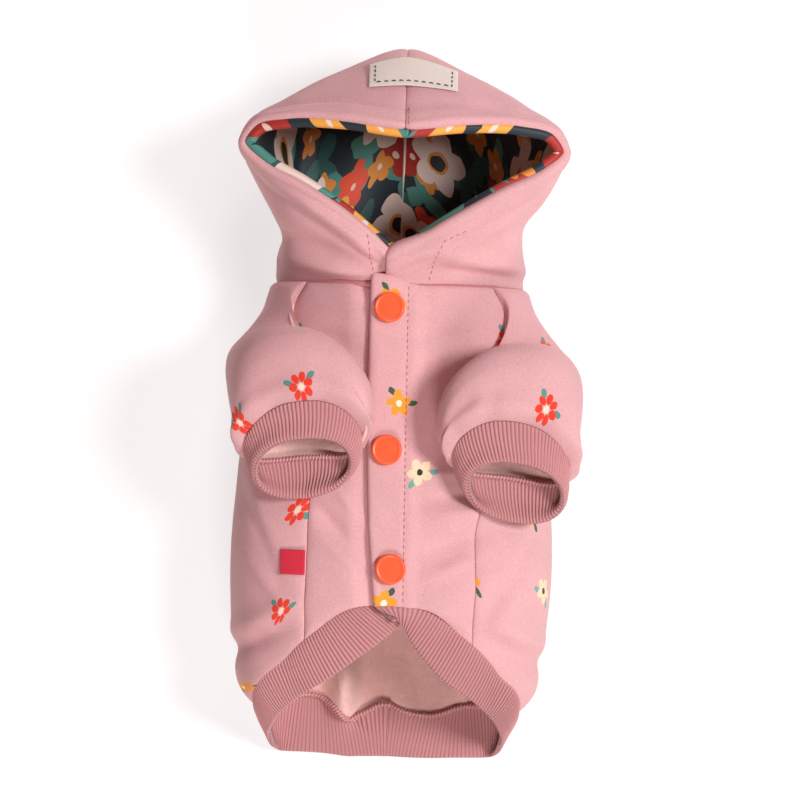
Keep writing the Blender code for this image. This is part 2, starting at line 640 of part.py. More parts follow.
def make_sleeve(side, cloth, rib):
    """A raglan sleeve and its cuff. Round the sleeve the columns stand where the panels have
    rows."""
    label = "left" if side < 0 else "right"
    neck = np.linspace(BACK_CORNER, FRONT_CORNER, NECK_STEPS + 1)[:-1]
    front = np.linspace(FRONT_CORNER, UNDERARM, ARMHOLE_STEPS + 1)[:-1]
    back = np.linspace(UNDERARM, BACK_CORNER + 360.0, ARMHOLE_STEPS + 1)[:-1]
    turn = np.concatenate([neck, front, back])[None, :]

    stations = [0.0, 0.06, 0.13, 0.2, 0.26, 0.31, 0.37, 0.44, 0.52, 0.6, 0.68, 0.77, 0.86, 0.93]
    body = np.array([*stations, CUFF_START - CUFF_GAP])
    cuff = np.linspace(CUFF_START + CUFF_GAP, CUFF_END, 5)
    outer = sleeve(turn, np.concatenate([body, cuff])[:, None], side)
    into = inwards(outer, side)
    for name, rows, wall, stuff in (
        ("sleeve", slice(0, len(body)), CLOTH, cloth),
        ("cuff", slice(len(body), None), RIB, rib),
    ):
        inner = outer[rows] + into[rows] * wall
        shell(f"{name}_{label}", outer[rows], inner, stuff, around=True)


def inwards(grid, side):
    """Unit directions into a tube of rings: half way between each ring's middle and the grid's
    own normals, smoothed over their neighbours so that the wall doesn't cross itself in a fold."""
    normal = side * np.cross(
        np.gradient(grid, axis=0), np.roll(grid, -1, axis=1) - np.roll(grid, 1, axis=1)
    )
    for _ in range(4):
        normal /= np.linalg.norm(normal, axis=-1, keepdims=True)
        normal[1:-1] = normal[:-2] + 2 * normal[1:-1] + normal[2:]
        normal = np.roll(normal, 1, axis=1) + 2 * normal + np.roll(normal, -1, axis=1)
    middle = grid.mean(axis=1, keepdims=True) - grid
    into = normal / np.linalg.norm(normal, axis=-1, keepdims=True)
    into += middle / np.linalg.norm(middle, axis=-1, keepdims=True)
    return into / np.linalg.norm(into, axis=-1, keepdims=True)


def make_hood(cloth, printed):
    """Two outer halves with a rolled rim and two lining halves, meeting along the middle seam."""
    halves = np.array([0, 0.1, 0.2, 0.29, 0.35, 0.4, 0.44, 0.48, 0.52, 0.57, 0.64, 0.73, 0.83, 0.92, 1])
    stations = np.array([0.0, 0.08, 0.16, 0.24, 0.34, 0.45, 0.56, 0.68, 0.8, 0.9, 1.0])
    for side, label in ((-1.0, "left"), (1.0, "right")):
        round_ = (side * np.maximum(halves, 1e-6))[None, :]
        down = stations[:, None]
        outer = hood(round_, down)
        normal = hood_normals(round_, down)
        shift = side * SEAM_GAP / 2
        rim, rim_normal = outer[0], normal[0]
        ahead = rim - outer[1]
        ahead -= rim_normal * np.sum(ahead * rim_normal, axis=-1, keepdims=True)
        ahead /= np.linalg.norm(ahead, axis=-1, keepdims=True)
        roll_out, roll_in = [], []
        for a in np.radians((180.0, 135.0, 90.0, 45.0)):
            outward = math.sin(a) * ahead
            across = math.cos(a) * rim_normal
            centre = rim - RIM_ROLL * rim_normal
            roll_out.append(centre + RIM_ROLL * (outward + across))
            roll_in.append(centre + (RIM_ROLL - CLOTH) * (outward + across))
        tail_out = roll_out[0] - RIM_TURN_IN * ahead
        tail_in = roll_in[0] - RIM_TURN_IN * ahead
        outside = np.concatenate([[tail_out], roll_out, outer])
        within = np.concatenate([[tail_in], roll_in, outer - normal * CLOTH])
        for grid in (outside, within):
            grid[..., 0] += shift
            grid[:, 0, 0] = shift
        shell(f"hood_{label}", outside, within, cloth)
        lined = hood_inside(side, halves, CLOTH + LINING_EASE, shift)
        inner = hood_inside(side, halves, CLOTH + LINING_EASE + LINING, shift)
        shell(f"hood_lining_{label}", lined, inner, printed)


def hood_inside(side, halves, depth, shift):
    """A grid inside one half of the hood, from below the turned edge to above the neck seam."""
    probe = np.linspace(0.0, 1.0, 81)[:, None]
    round_ = (side * np.maximum(halves, 1e-6))[None, :]
    line = hood(round_, probe)
    step = np.linalg.norm(np.diff(line, axis=0), axis=-1)
    run = np.concatenate([0 * step[:1], np.cumsum(step, axis=0)])
    shares = np.array([0.0, 0.09, 0.2, 0.32, 0.44, 0.56, 0.68, 0.84, 1.0])
    down = np.empty((len(shares), len(halves)))
    for column in range(len(halves)):
        first, last = LINING_FROM_RIM, run[-1, column] - LINING_FROM_NECK
        wanted = first + (last - first) * shares
        down[:, column] = np.interp(wanted, run[:, column], probe[:, 0])
    normal = hood_normals(round_, down)
    grid = hood(round_, down) - normal * depth
    grid[..., 0] += shift
    grid[:, 0, 0] = shift
    return grid


def hood_normals(round_, down):
    """The hood's normals, level with the middle plane at the brow's and the throat's seam."""
    normal = normals_of(hood, round_, down, step=(0.01, 0.01))
    for column in (0, -1):
        normal[:, column, 0] = 0.0
        normal[:, column] /= np.linalg.norm(normal[:, column], axis=-1, keepdims=True)
    return normal


def frame_on(surface, first, second):
    """A matrix that stands on a surface, its z axis along the outward normal."""
    point = surface(first, second)
    normal = Vector(normals_of(surface, first, second).reshape(3))
    turn = normal.to_track_quat("Z", "Y").to_matrix().to_4x4()
    return Matrix.Translation(Vector(point.reshape(3))) @ turn


def turned(name, profile, place, stuff, sides=20):
    """A solid of revolution: (radius, height) pairs from the axis to the axis, set in place."""
    a = np.arange(sides) * 2 * math.pi / sides
    ring = np.stack([np.cos(a), np.sin(a)], axis=-1)
    points = [(0.0, 0.0, profile[0][1])]
    for radius, height in profile[1:-1]:
        points += [(radius * c, radius * d, height) for c, d in ring]
    points.append((0.0, 0.0, profile[-1][1]))
    rings = len(profile) - 2
    faces = [(0, 1 + k, 1 + (k + 1) % sides) for k in range(sides)]
    walls = grid_faces(np.array(points[1:-1]).reshape(rings, sides, 3), True)
    faces += [(a + 1, b + 1, c + 1) for a, b, c in walls]
    start = 1 + (rings - 1) * sides
    faces += [(start + k, len(points) - 1, start + (k + 1) % sides) for k in range(sides)]
    return solid(name, [place @ Vector(p) for p in points], faces, stuff)


def make_snaps(plastic, fronts):
    """Three snaps: a low domed cap, a post through both fronts and a plain disc behind them."""
    cap, post, disc = SNAP_DIAMETER / 2, SNAP_POST_DIAMETER / 2, SNAP_BACK_DIAMETER / 2
    under_cap = UPPER_LIFT + SNAP_CLEAR
    behind = UPPER_LIFT - 2 * CLOTH - FACING - SEAM_GAP - SNAP_CLEAR
    profile = [
        (0.0, under_cap + SNAP_HEIGHT * 0.88),
        (cap * 0.60, under_cap + SNAP_HEIGHT * 0.84),
        (cap * 0.76, under_cap + SNAP_HEIGHT * 1.00),
        (cap * 0.90, under_cap + SNAP_HEIGHT * 0.90),
        (cap, under_cap + SNAP_HEIGHT * 0.45),
        (cap * 0.97, under_cap),
        (post, under_cap),
        (post, behind),
        (disc, behind),
        (disc, behind - SNAP_BACK_HEIGHT),
        (0.0, behind - SNAP_BACK_HEIGHT),
    ]
    hole = post + SEAM_GAP
    for label, share in SNAP_PLACES.items():
        y = NECK_Y - BELLY_LENGTH * share
        angle = torso_angle(edge_x(y) + SNAP_SET_BACK, y)
        place = frame_on(torso, np.array(angle), np.array(y))
        turned(f"snap_{label}", profile, place, plastic)
        bore = [(0.0, CLOTH * 3), (hole, CLOTH * 3), (hole, -CLOTH * 4), (0.0, -CLOTH * 4)]
        cutter = turned(f"hole_{label}", bore, place, plastic, sides=12)
        cutter.hide_render = True
        cutter.display_type = "WIRE"
        for front in fronts:
            cut = front.modifiers.new(f"hole_{label}", "BOOLEAN")
            cut.operation = "DIFFERENCE"
            cut.solver = "EXACT"
            cut.object = cutter


def patch(name, surface, first, second, step, stuff):
    """A thin piece of weave sewn on a surface, over a grid of its parameters."""
    point = surface(first, second)
    normal = normals_of(surface, first, second, step)
    low = PATCH_CLEAR
    return shell(name, point + normal * (low + PATCH), point + normal * low, stuff)


def make_label(weave):
    """The patch behind the brow, square to the middle seam."""
    probe = np.linspace(0.0, 0.24, 60)
    line = hood(0 * probe + 1e-6, probe)
    run = np.append(0.0, np.cumsum(np.linalg.norm(np.diff(line, axis=0), axis=-1)))
    ends = np.interp([LABEL_FROM_RIM, LABEL_FROM_RIM + LABEL_DEPTH], run, probe)
    down = np.linspace(*ends, 4)[:, None]
    wanted = LABEL_SHIFT + np.linspace(-LABEL_WIDTH / 2, LABEL_WIDTH / 2, 9)[None, :]
    low, high = np.full((4, 9), -0.5), np.full((4, 9), 0.5)
    for _ in range(30):
        middle = (low + high) / 2
        short = hood(middle, down)[..., 0] < wanted
        low, high = np.where(short, middle, low), np.where(short, high, middle)
    patch("hood_label", hood, (low + high) / 2, down, (0.01, 0.01), weave)


def make_tab(weave):
    """The tab caught in the left side seam, lying on the flank."""
    y = TAB_Y + np.linspace(TAB_WIDTH / 2, -TAB_WIDTH / 2, 4)[:, None]
    x = -SIDE_SEAM_X - SEAM_GAP - np.linspace(0.0, TAB_LENGTH, 5)[None, :]
    patch("side_tag", torso, torso_angle(x, y), y, (0.4, 0.4 * MM), weave)


def clear_scene():
    for thing in list(bpy.data.objects):
        bpy.data.objects.remove(thing, do_unlink=True)


def stand_on_origin():
    """Moves every mesh so that the middle of the whole garment's base is at the origin."""
    things = [thing for thing in bpy.data.objects if thing.type == "MESH"]
    corners = np.array([
        corner.co for thing in things if not thing.hide_render for corner in thing.data.vertices
    ])
    low, high = corners.min(axis=0), corners.max(axis=0)
    base = Vector(((low[0] + high[0]) / 2, (low[1] + high[1]) / 2, low[2]))
    for thing in things:
        thing.data.transform(Matrix.Translation(-base))


def main():
    clear_scene()
    cloth = material("dusty_pink_double_knit", (0.76, 0.42, 0.43), 0.85, sheen=0.3)
    rib = material("dusty_pink_rib_knit", (0.66, 0.33, 0.34), 0.9, sheen=0.3)
    printed = material("printed_lining", (0.02, 0.04, 0.05), 0.55)
    plastic = material("orange_snap_plastic", (0.90, 0.14, 0.03), 0.4)
    canvas = material("cream_label_weave", (0.85, 0.78, 0.68), 0.8)
    ribbon = material("red_tab_weave", (0.62, 0.02, 0.05), 0.6)
    fronts, hem = make_torso(cloth)
    make_hem_band(hem, rib)
    for side in (-1.0, 1.0):
        make_sleeve(side, cloth, rib)
    make_hood(cloth, printed)
    make_snaps(plastic, fronts)
    make_label(canvas)
    make_tab(ribbon)
    stand_on_origin()


main()
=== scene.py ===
# %% [markdown]
# # A small dog's hoodie in brushed knit
#
# The garment lies on its back on a white floor with its belly up. It is sewn from panels of
# brushed double knit with a scattered flower print, has rib knit at the cuffs and the hem, a hood
# lined with a smooth printed cloth, three plastic snaps, a woven patch and a small woven tab.
# The imported model holds the true hollow form of every panel, but its faces are a centimetre wide.
# Here each panel is worked out again from the same measurements, fine enough for soft edges,
# puckers and ribs, and the imported panel that it stands for is hidden.

# %% The frame that everything is built around
import json
import math

import bmesh
import bpy
import numpy as np
from mathutils import Matrix, Vector

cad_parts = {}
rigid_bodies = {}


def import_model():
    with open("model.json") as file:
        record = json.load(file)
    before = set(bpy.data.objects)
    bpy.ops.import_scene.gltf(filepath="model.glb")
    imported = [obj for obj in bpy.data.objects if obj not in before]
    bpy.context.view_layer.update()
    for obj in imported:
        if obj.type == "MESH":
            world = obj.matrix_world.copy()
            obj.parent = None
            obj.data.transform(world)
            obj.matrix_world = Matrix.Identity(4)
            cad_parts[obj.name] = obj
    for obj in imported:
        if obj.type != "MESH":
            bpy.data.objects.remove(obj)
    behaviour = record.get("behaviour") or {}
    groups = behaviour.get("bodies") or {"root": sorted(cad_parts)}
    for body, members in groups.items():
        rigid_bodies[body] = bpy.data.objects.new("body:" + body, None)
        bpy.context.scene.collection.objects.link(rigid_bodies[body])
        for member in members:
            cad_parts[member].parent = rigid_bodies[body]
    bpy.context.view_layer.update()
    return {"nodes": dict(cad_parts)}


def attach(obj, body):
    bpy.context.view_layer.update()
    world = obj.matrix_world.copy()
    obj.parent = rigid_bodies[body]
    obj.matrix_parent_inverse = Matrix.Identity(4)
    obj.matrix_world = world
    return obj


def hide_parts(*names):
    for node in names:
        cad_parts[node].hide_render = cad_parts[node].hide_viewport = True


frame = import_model()
MM = 0.001
print("pieces in the packed model:", len(frame["nodes"]))

# %% [markdown]
# ## The pattern's measurements
#
# A garment maker starts with a size chart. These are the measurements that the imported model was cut
# to, in metres, with x = 0 on the middle line of the body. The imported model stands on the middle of
# its box instead, so every finished mesh is moved by one small step. Only the gaps at the seams are
# smaller here: solids keep apart, but sewn cloth touches.

# %% The size chart
GARMENT_MIDDLE = np.array([-3.254, 3.277, 0.0]) * MM

CLOTH = 2.0 * MM
FACING = 1.4 * MM
RIB = 2.4 * MM
LINING = 1.0 * MM
PATCH = 0.8 * MM
SEAM_GAP = 0.06 * MM

BACK_LENGTH = 192.0 * MM
BELLY_LENGTH = 142.5 * MM
NECK_WIDTH = 114.0 * MM
NECK_HEIGHT = 60.0 * MM
CHEST_WIDTH = 145.0 * MM
CHEST_HEIGHT = 72.0 * MM
HEM_WIDTH = 121.0 * MM
HEM_HEIGHT = 62.0 * MM
NECK_Y = 51.5 * MM
WIDEST_SHARE = 0.44
BELLY_ROUND = 2.5
BACK_ROUND = 2.6
FLOOR_SINK = 4.0 * MM

SIDE_SEAM_X = 37.5 * MM
EDGE_X = 13.0 * MM
EDGE_LEAN = 6.0 * MM
UNDERLAP_X = 5.5 * MM
UPPER_LIFT = 1.5 * MM
LAP_STEP = 8.0 * MM
LAP_MARGIN = 1.5 * MM

HEM_BAND_WIDTH = 21.5 * MM
HEM_MOUTH_WIDTH = 99.0 * MM
HEM_MOUTH_HEIGHT = 70.0 * MM
HEM_LAP_CLEAR = 0.8 * MM

ARMHOLE_DEPTH = 62.0 * MM
SLEEVE_WIDTH = 62.0 * MM
SLEEVE_REACH = 80.0 * MM
SLEEVE_RISE = 27.0 * MM
SLEEVE_SET = 46.0 * MM
SLEEVE_SWAY = 7.0 * MM
SLEEVE_DROP = 3.8 * MM
SLEEVE_CLEAR = 2.4 * MM
ROOT_CLEAR = 0.05 * MM

HOOD_WIDTH = 147.0 * MM
HOOD_LENGTH = 105.5 * MM
HOOD_HEIGHT = 86.0 * MM
RIM_ROLL = 2.6 * MM
THROAT_SHIFT = 2.0 * MM
print("back length", BACK_LENGTH / MM, "mm, chest width laid flat", CHEST_WIDTH / MM, "mm")

# %% [markdown]
# ## The pattern's tables
#
# A soft form is hard to give by a formula alone. Short tables do it: each row is a level, a ring or
# a point of a seam, and its lengths are shares of the sizes above, so the form follows its sizes.
# A smooth curve is drawn through each column.

# %% Sections and folds of the body, seam and mouth of the hem
# share of BACK_LENGTH from the neck; how far the width and height have gone from neck to chest
# size; how far they have gone from chest to hem size.
TORSO_SECTIONS = np.array([
    # at,   to_chest, to_hem
    (0.00, 0.00, 0.00),
    (0.11, 0.22, 0.00),
    (0.27, 0.62, 0.00),
    (0.50, 0.92, 0.00),
    (0.72, 1.00, 0.02),
    (0.87, 1.00, 0.26),
    (0.95, 1.00, 0.46),
    (1.00, 1.00, 1.00),
    (1.06, 1.00, 1.40),
])

# Soft folds of the body where the cloth sags. Place as shares of half CHEST_WIDTH from the middle
# and of BACK_LENGTH from the neck; direction of the run in degrees from +X; half length and half
# width as shares of CHEST_WIDTH; height as a share of FOLD_HEIGHT, negative for a dent.
FOLDS = np.array([
    # x,    y,    run, length, width, height
    (0.50, 0.52, 20.0, 0.14, 0.045, 1.0),
    (0.34, 0.62, 12.0, 0.13, 0.040, -0.8),
    (0.36, 0.71, 15.0, 0.15, 0.045, 0.9),
    (0.34, 0.80, 25.0, 0.10, 0.035, -0.7),
    (-0.36, 0.56, -55.0, 0.13, 0.040, -1.0),
    (-0.30, 0.66, -60.0, 0.14, 0.045, 0.8),
    (-0.72, 0.60, -70.0, 0.20, 0.050, 0.9),
    (-0.74, 0.86, -25.0, 0.12, 0.040, -1.2),
    (0.74, 0.90, 30.0, 0.12, 0.040, -1.2),
    (0.76, 0.66, 80.0, 0.20, 0.055, 0.8),
    (0.22, 0.20, 60.0, 0.14, 0.045, -0.7),
    (-0.34, 0.16, 100.0, 0.12, 0.045, -0.7),
])
FOLD_HEIGHT = 1.3 * MM

# degrees from the belly's middle; share of the way from BELLY_LENGTH to BACK_LENGTH
HEM_SEAM = np.array([
    # angle, share
    (0.0, 0.00),
    (10.0, 0.04),
    (23.0, 0.27),
    (37.0, 0.51),
    (52.0, 0.73),
    (70.0, 0.91),
    (90.0, 1.00),
    (135.0, 1.04),
    (180.0, 1.06),
])

# degrees from the belly's middle; the free edge's place across and up as shares of half
# HEM_MOUTH_WIDTH and HEM_MOUTH_HEIGHT, and along as a share of HEM_BAND_WIDTH past the seam's
# own y at that angle
HEM_MOUTH = np.array([
    # angle, across, up,   along
    (0.0, -0.02, 1.000, 0.30),
    (10.0, 0.12, 0.970, 0.63),
    (23.0, 0.47, 0.885, 0.86),
    (37.0, 0.77, 0.735, 0.81),
    (52.0, 0.95, 0.575, 0.70),
    (70.0, 1.04, 0.390, 0.63),
    (90.0, 1.08, 0.235, 0.68),
    (115.0, 1.05, 0.085, 0.92),
    (140.0, 0.90, 0.000, 1.00),
    (160.0, 0.47, 0.000, 1.00),
    (180.0, 0.00, 0.000, 1.00),
])
print("rows for the body and its hem:", sum(map(len, (TORSO_SECTIONS, FOLDS, HEM_SEAM, HEM_MOUTH))))

# %% [markdown]
# The sleeve is set into an armhole between two seams. Its rings go from there to the cuff's edge,
# as the sleeve was left: standing up from the belly and leaning outwards.

# %% Armhole and rings of the sleeve
# share of ARMHOLE_DEPTH; the front and back seams of the sleeve, in degrees from the belly's middle
ARMHOLE = np.array([
    # at,  front, back
    (0.00, 43.0, 115.0),
    (0.14, 49.5, 118.0),
    (0.32, 49.0, 116.0),
    (0.50, 45.0, 106.0),
    (0.66, 41.0, 91.0),
    (0.80, 37.5, 73.0),
    (0.91, 34.0, 53.0),
    (1.00, 31.0, 31.0),
])

# A ring passes through four points: hood side, inner side, hem side and outer side.
# x: from the sleeve's middle as a share of half SLEEVE_WIDTH, outwards positive
# y: from the underarm as a share of SLEEVE_REACH, towards the hood positive
# z: above CHEST_HEIGHT as a share of SLEEVE_RISE
SLEEVE_RINGS = np.array([
    # along, sway, hood x, y, z,      inner x, y, z,        hem x, y, z,          outer x, y, z
    (0.00, 0.00, 0.30, 0.77, -1.00, 0.00, 0.38, -0.42, -0.40, 0.00, -0.25, 0.60, 0.28, -1.90),
    (0.15, 0.15, 0.30, 0.64, -0.85, -0.16, 0.28, -0.28, -0.32, -0.03, -0.20, 0.80, 0.26, -1.45),
    (0.30, 0.35, 0.26, 0.465, -0.55, -0.55, 0.18, -0.02, -0.24, -0.07, -0.16, 1.00, 0.24, -0.80),
    (0.42, 0.48, 0.22, 0.495, 0.06, -0.92, 0.12, 0.10, -0.14, -0.10, -0.13, 1.04, 0.16, -0.25),
    (0.55, 0.56, 0.12, 0.475, 0.52, -1.05, 0.08, 0.40, -0.07, -0.135, -0.12, 1.02, 0.08, 0.12),
    (0.68, 0.62, 0.06, 0.380, 0.74, -1.00, 0.02, 0.56, -0.03, -0.17, -0.12, 0.98, 0.00, 0.32),
    (0.82, 0.70, 0.02, 0.240, 0.86, -0.96, -0.04, 0.54, 0.00, -0.205, -0.12, 0.98, -0.09, 0.34),
    (0.93, 0.76, 0.00, 0.140, 0.92, -0.98, -0.09, 0.46, 0.00, -0.235, -0.11, 0.98, -0.16, 0.28),
    (1.00, 0.80, 0.00, 0.075, 0.82, -0.88, -0.14, 0.34, 0.00, -0.260, -0.09, 0.86, -0.21, 0.20),
    (1.15, 0.90, 0.00, -0.025, 0.68, -0.77, -0.23, 0.30, 0.00, -0.365, -0.10, 0.77, -0.28, 0.19),
    (1.30, 1.00, 0.02, -0.135, 0.72, -0.69, -0.28, 0.32, 0.03, -0.485, -0.09, 0.74, -0.34, 0.25),
])
CUFF_START = 1.0            # the cuff begins where the sleeve's rings reach 1
CUFF_END = 1.30
CUFF_GAP = 0.001            # half the gap between sleeve and cuff, along the rings
BACK_CORNER = 60.0          # the sleeve's turn, in degrees, where the back seam meets the neck
FRONT_CORNER = 100.0        # the same for the front seam
UNDERARM = 270.0            # where the two seams meet
print("rings of a sleeve:", len(SLEEVE_RINGS))

# %% [markdown]
# The hood has fallen flat behind the neck. Its table holds the meridians of one half, which run
# from the rim over the outside to the neck seam. The other half is the same, mirrored.

# %% Meridians of the hood
# Place round the rim from the throat (0) to the brow (1); the neck seam's angle that it reaches;
# then four points: rim, crown, base and nape.
# x: share of half HOOD_WIDTH; y: share of HOOD_LENGTH from the neck seam; z: share of HOOD_HEIGHT
HOOD_MERIDIANS = np.array([
    # at,  neck,   rim x, y, z,       crown x, y, z,      base x, y, z,       nape x, y, z
    (0.00, 0.0, 0.00, 0.100, 0.80, 0.00, 0.075, 0.785, 0.00, 0.045, 0.755, 0.00, 0.020, 0.715),
    (0.20, 26.0, 0.31, 0.250, 0.87, 0.37, 0.180, 0.830, 0.41, 0.120, 0.760, 0.41, 0.055, 0.700),
    (0.36, 50.0, 0.63, 0.375, 0.87, 0.71, 0.280, 0.740, 0.71, 0.180, 0.630, 0.69, 0.080, 0.575),
    (0.46, 70.0, 0.87, 0.460, 0.81, 0.87, 0.385, 0.620, 0.76, 0.250, 0.470, 0.740, 0.110, 0.440),
    (0.54, 90.0, 1.00, 0.560, 0.77, 0.95, 0.510, 0.520, 0.75, 0.330, 0.310, 0.755, 0.140, 0.300),
    (0.61, 112.0, 0.93, 0.660, 0.80, 0.93, 0.660, 0.500, 0.75, 0.480, 0.140, 0.710, 0.200, 0.120),
    (0.72, 138.0, 0.70, 0.705, 0.87, 0.73, 0.775, 0.540, 0.63, 0.660, 0.050, 0.550, 0.300, 0.020),
    (0.86, 158.0, 0.36, 0.700, 0.95, 0.38, 0.905, 0.570, 0.33, 0.780, 0.020, 0.290, 0.380, 0.000),
    (1.00, 180.0, 0.00, 0.668, 1.00, 0.00, 1.000, 0.550, 0.00, 0.860, 0.020, 0.000, 0.440, 0.000),
])
# rim, crown, base, nape and neck seam, along a meridian
HOOD_COLUMN_AT = (0.0, 0.24, 0.55, 0.80, 1.0)
BROW_LEVEL = 0.7            # how nearly the two halves run into one another at the middle seam
print("meridians of half a hood:", len(HOOD_MERIDIANS))

# %% [markdown]
# ## Curves through a table, and normals of a surface
#
# The curve through a column is made of cubic pieces, one between each two rows. A cubic is fixed by
# its values and slopes at both ends, so taking the mean slope at each row gives a curve without
# corners. A surface is then a function of two numbers, and its normal is the cross product of two
# short steps on it.

# %% Curves and normals
def cubic(t, step, first, last, first_slope, last_slope):
    """The cubic with these values and slopes where t is 0 and 1, which lie a step apart."""
    return (
        first * (1 + 2 * t) * (1 - t) ** 2 + first_slope * step * t * (1 - t) ** 2
        + last * t * t * (3 - 2 * t) + last_slope * step * t * t * (t - 1)
    )


def through(at, table, column, level_end=0.0):
    """Smooth curve through a table's column: cubic pieces whose slope at a row is the mean slope
    of its two sides, and straight on past either end. level_end flattens the last row's slope."""
    knots = table[:, 0]
    values = table[:, column]
    slopes = np.gradient(values, knots)
    slopes[-1] *= 1.0 - level_end
    at = np.asarray(at, float)
    inside = np.clip(at, knots[0], knots[-1])
    row = np.clip(np.searchsorted(knots, inside, side="right") - 1, 0, len(knots) - 2)
    step = knots[row + 1] - knots[row]
    t = (inside - knots[row]) / step
    value = cubic(t, step, values[row], values[row + 1], slopes[row], slopes[row + 1])
    end_slope = np.where(at < knots[0], slopes[0], slopes[-1])
    return value + end_slope * (at - inside)


def smooth_step(t):
    """0 below 0, 1 above 1, and a smooth ramp between."""
    t = np.clip(t, 0.0, 1.0)
    return t * t * (3 - 2 * t)


def normals_of(surface, first, second, step=(0.4, 0.4 * MM)):
    """Outward unit normals of a surface by small steps in both parameters."""
    along_first = surface(first + step[0], second) - surface(first - step[0], second)
    along_second = surface(first, second + step[1]) - surface(first, second - step[1])
    normal = np.cross(along_first, along_second)
    return normal / np.maximum(np.linalg.norm(normal, axis=-1, keepdims=True), 1e-12)


print("a smooth step goes 0, 0.5, 1:", smooth_step(np.array([0, 0.5, 1])))

# %% [markdown]
# ## The body's surface
#
# A garment on a table is not round: it lies flat below and is full above. Its section is a
# superellipse, whose two halves have different heights, cut flat at the floor. Angles are measured
# round it from the middle of the belly. Soft folds are added as long smooth bumps. The seams are
# lines on this surface, given by an angle for each place along the garment.

# %% The body
def torso_sizes(y):
    """Half width, height and widest level of the torso's section at y."""
    at = (NECK_Y - y) / BACK_LENGTH
    to_chest = through(at, TORSO_SECTIONS, 1)
    to_hem = through(at, TORSO_SECTIONS, 2)
    width = NECK_WIDTH + (CHEST_WIDTH - NECK_WIDTH) * to_chest + (HEM_WIDTH - CHEST_WIDTH) * to_hem
    height = (
        NECK_HEIGHT + (CHEST_HEIGHT - NECK_HEIGHT) * to_chest + (HEM_HEIGHT - CHEST_HEIGHT) * to_hem
    )
    return width / 2, height, height * WIDEST_SHARE


def torso(angle, y):
    """Point on the torso's outer face, angle in degrees from the belly's middle towards +X.
    The section is a superellipse, flat where it would go below the floor."""
    half, height, level = torso_sizes(y)
    a = np.radians(angle)
    across, up = np.sin(a), np.cos(a)
    power = np.where(up > 0, 2 / BELLY_ROUND, 2 / BACK_ROUND)
    x = half * np.sign(across) * np.abs(across) ** power
    above = level + (height - level) * np.abs(up) ** power
    below = level - (level + FLOOR_SINK) * np.abs(up) ** power
    z = np.where(up > 0, above, below)
    x, y, z = np.broadcast_arrays(x, y, z)
    grown = 1 + folds(x, y) * smooth_step(2 * up) / np.hypot(x, z - level)
    return np.stack([x * grown, y, np.maximum(level + (z - level) * grown, 0.0)], axis=-1)


def ridges(x, y, table):
    """Sum of the ridges and dents of a table: a bell curve along each run, and one across it."""
    total = 0.0
    for across, along, way, length, width, tall in table:
        dx, dy, a = x - across, y - along, math.radians(way)
        on = (dx * math.cos(a) + dy * math.sin(a)) / length
        off = (dy * math.cos(a) - dx * math.sin(a)) / width
        total = total + tall * np.exp(-on * on - off * off)
    return total


def folds(x, y):
    """Height of the body's soft folds, the table's shares all made shares of the chest's width."""
    table = FOLDS * (0.5, -BACK_LENGTH / CHEST_WIDTH, 1, 1, 1, 1)
    return FOLD_HEIGHT * ridges(x / CHEST_WIDTH, (y - NECK_Y) / CHEST_WIDTH, table)


def torso_angle(x, y):
    """The angle whose torso point lies at x, on the belly's side."""
    half, _, _ = torso_sizes(y)
    share = np.clip(np.abs(x) / half, 0.0, 1.0)
    return np.sign(x) * np.degrees(np.arcsin(share ** (BELLY_ROUND / 2)))


def hem_seam_y(angle):
    """The hem seam's place along the garment at an angle."""
    share = through(np.abs(angle), HEM_SEAM, 1)
    return NECK_Y - BELLY_LENGTH - (BACK_LENGTH - BELLY_LENGTH) * share


def armhole_angle(y, column):
    """Front (1) or back (2) seam of the sleeve at y; below the underarm, the side seam."""
    at = (NECK_Y - y) / ARMHOLE_DEPTH
    seam = through(np.clip(at, 0.0, 1.0), ARMHOLE, column)
    side = torso_angle(SIDE_SEAM_X, y)
    underarm = torso_angle(SIDE_SEAM_X, NECK_Y - ARMHOLE_DEPTH)
    return np.where(at < 1.0, seam + (underarm - ARMHOLE[-1, 1]) * np.clip(at, 0, 1) ** 4, side)


def armhole_y(down):
    """The garment's y down the armhole, 0 to 1; the steps shrink where its seams turn inwards."""
    share = 1 - (1 - np.clip(down, 0.0, 1.0)) ** 1.5
    return NECK_Y - SEAM_GAP / 2 - (ARMHOLE_DEPTH - SEAM_GAP / 2) * share


def gap_angle(y):
    """A seam gap, as an angle on the torso."""
    half, _, _ = torso_sizes(y)
    return np.degrees(SEAM_GAP / half)


def in_section(points):
    """Points in the torso's section at their y: x, z from its widest level, that level, the half
    width, the height or depth on z's side, and the superellipse's power there."""
    half, height, level = torso_sizes(points[..., 1])
    x, z = points[..., 0], points[..., 2] - level
    power = np.where(z > 0, BELLY_ROUND, BACK_ROUND)
    return x, z, level, half, np.where(z > 0, height - level, level + FLOOR_SINK), power


def clear_of_torso(points, clearance):
    """Points moved out from the torso's axis until they stand clear of its outer face."""
    x, z, level, half, reach, power = in_section(points)
    radius = ((np.abs(x) / half) ** power + (np.abs(z) / reach) ** power) ** (1 / power)
    distance = np.maximum(np.hypot(x, z), 1e-6)
    scale = np.maximum(1.0, (1 + clearance * radius / distance) / np.maximum(radius, 1e-6))
    return np.stack([x * scale, points[..., 1], np.maximum(level + z * scale, 0.0)], axis=-1)


print("belly height at the chest:", float(round(torso(np.array(0.0), np.array(-0.04))[2] / MM, 1)), "mm")

# %% [markdown]
# ## The sleeves' surface
#
# A sleeve is a tube of rings. Each ring is a closed curve through four points, which the first two
# harmonics of the turn can always meet. The first ring is the armhole's seam itself, and the rings
# ease from it into the free ones, so the sleeve stands up from the body and leans over it.

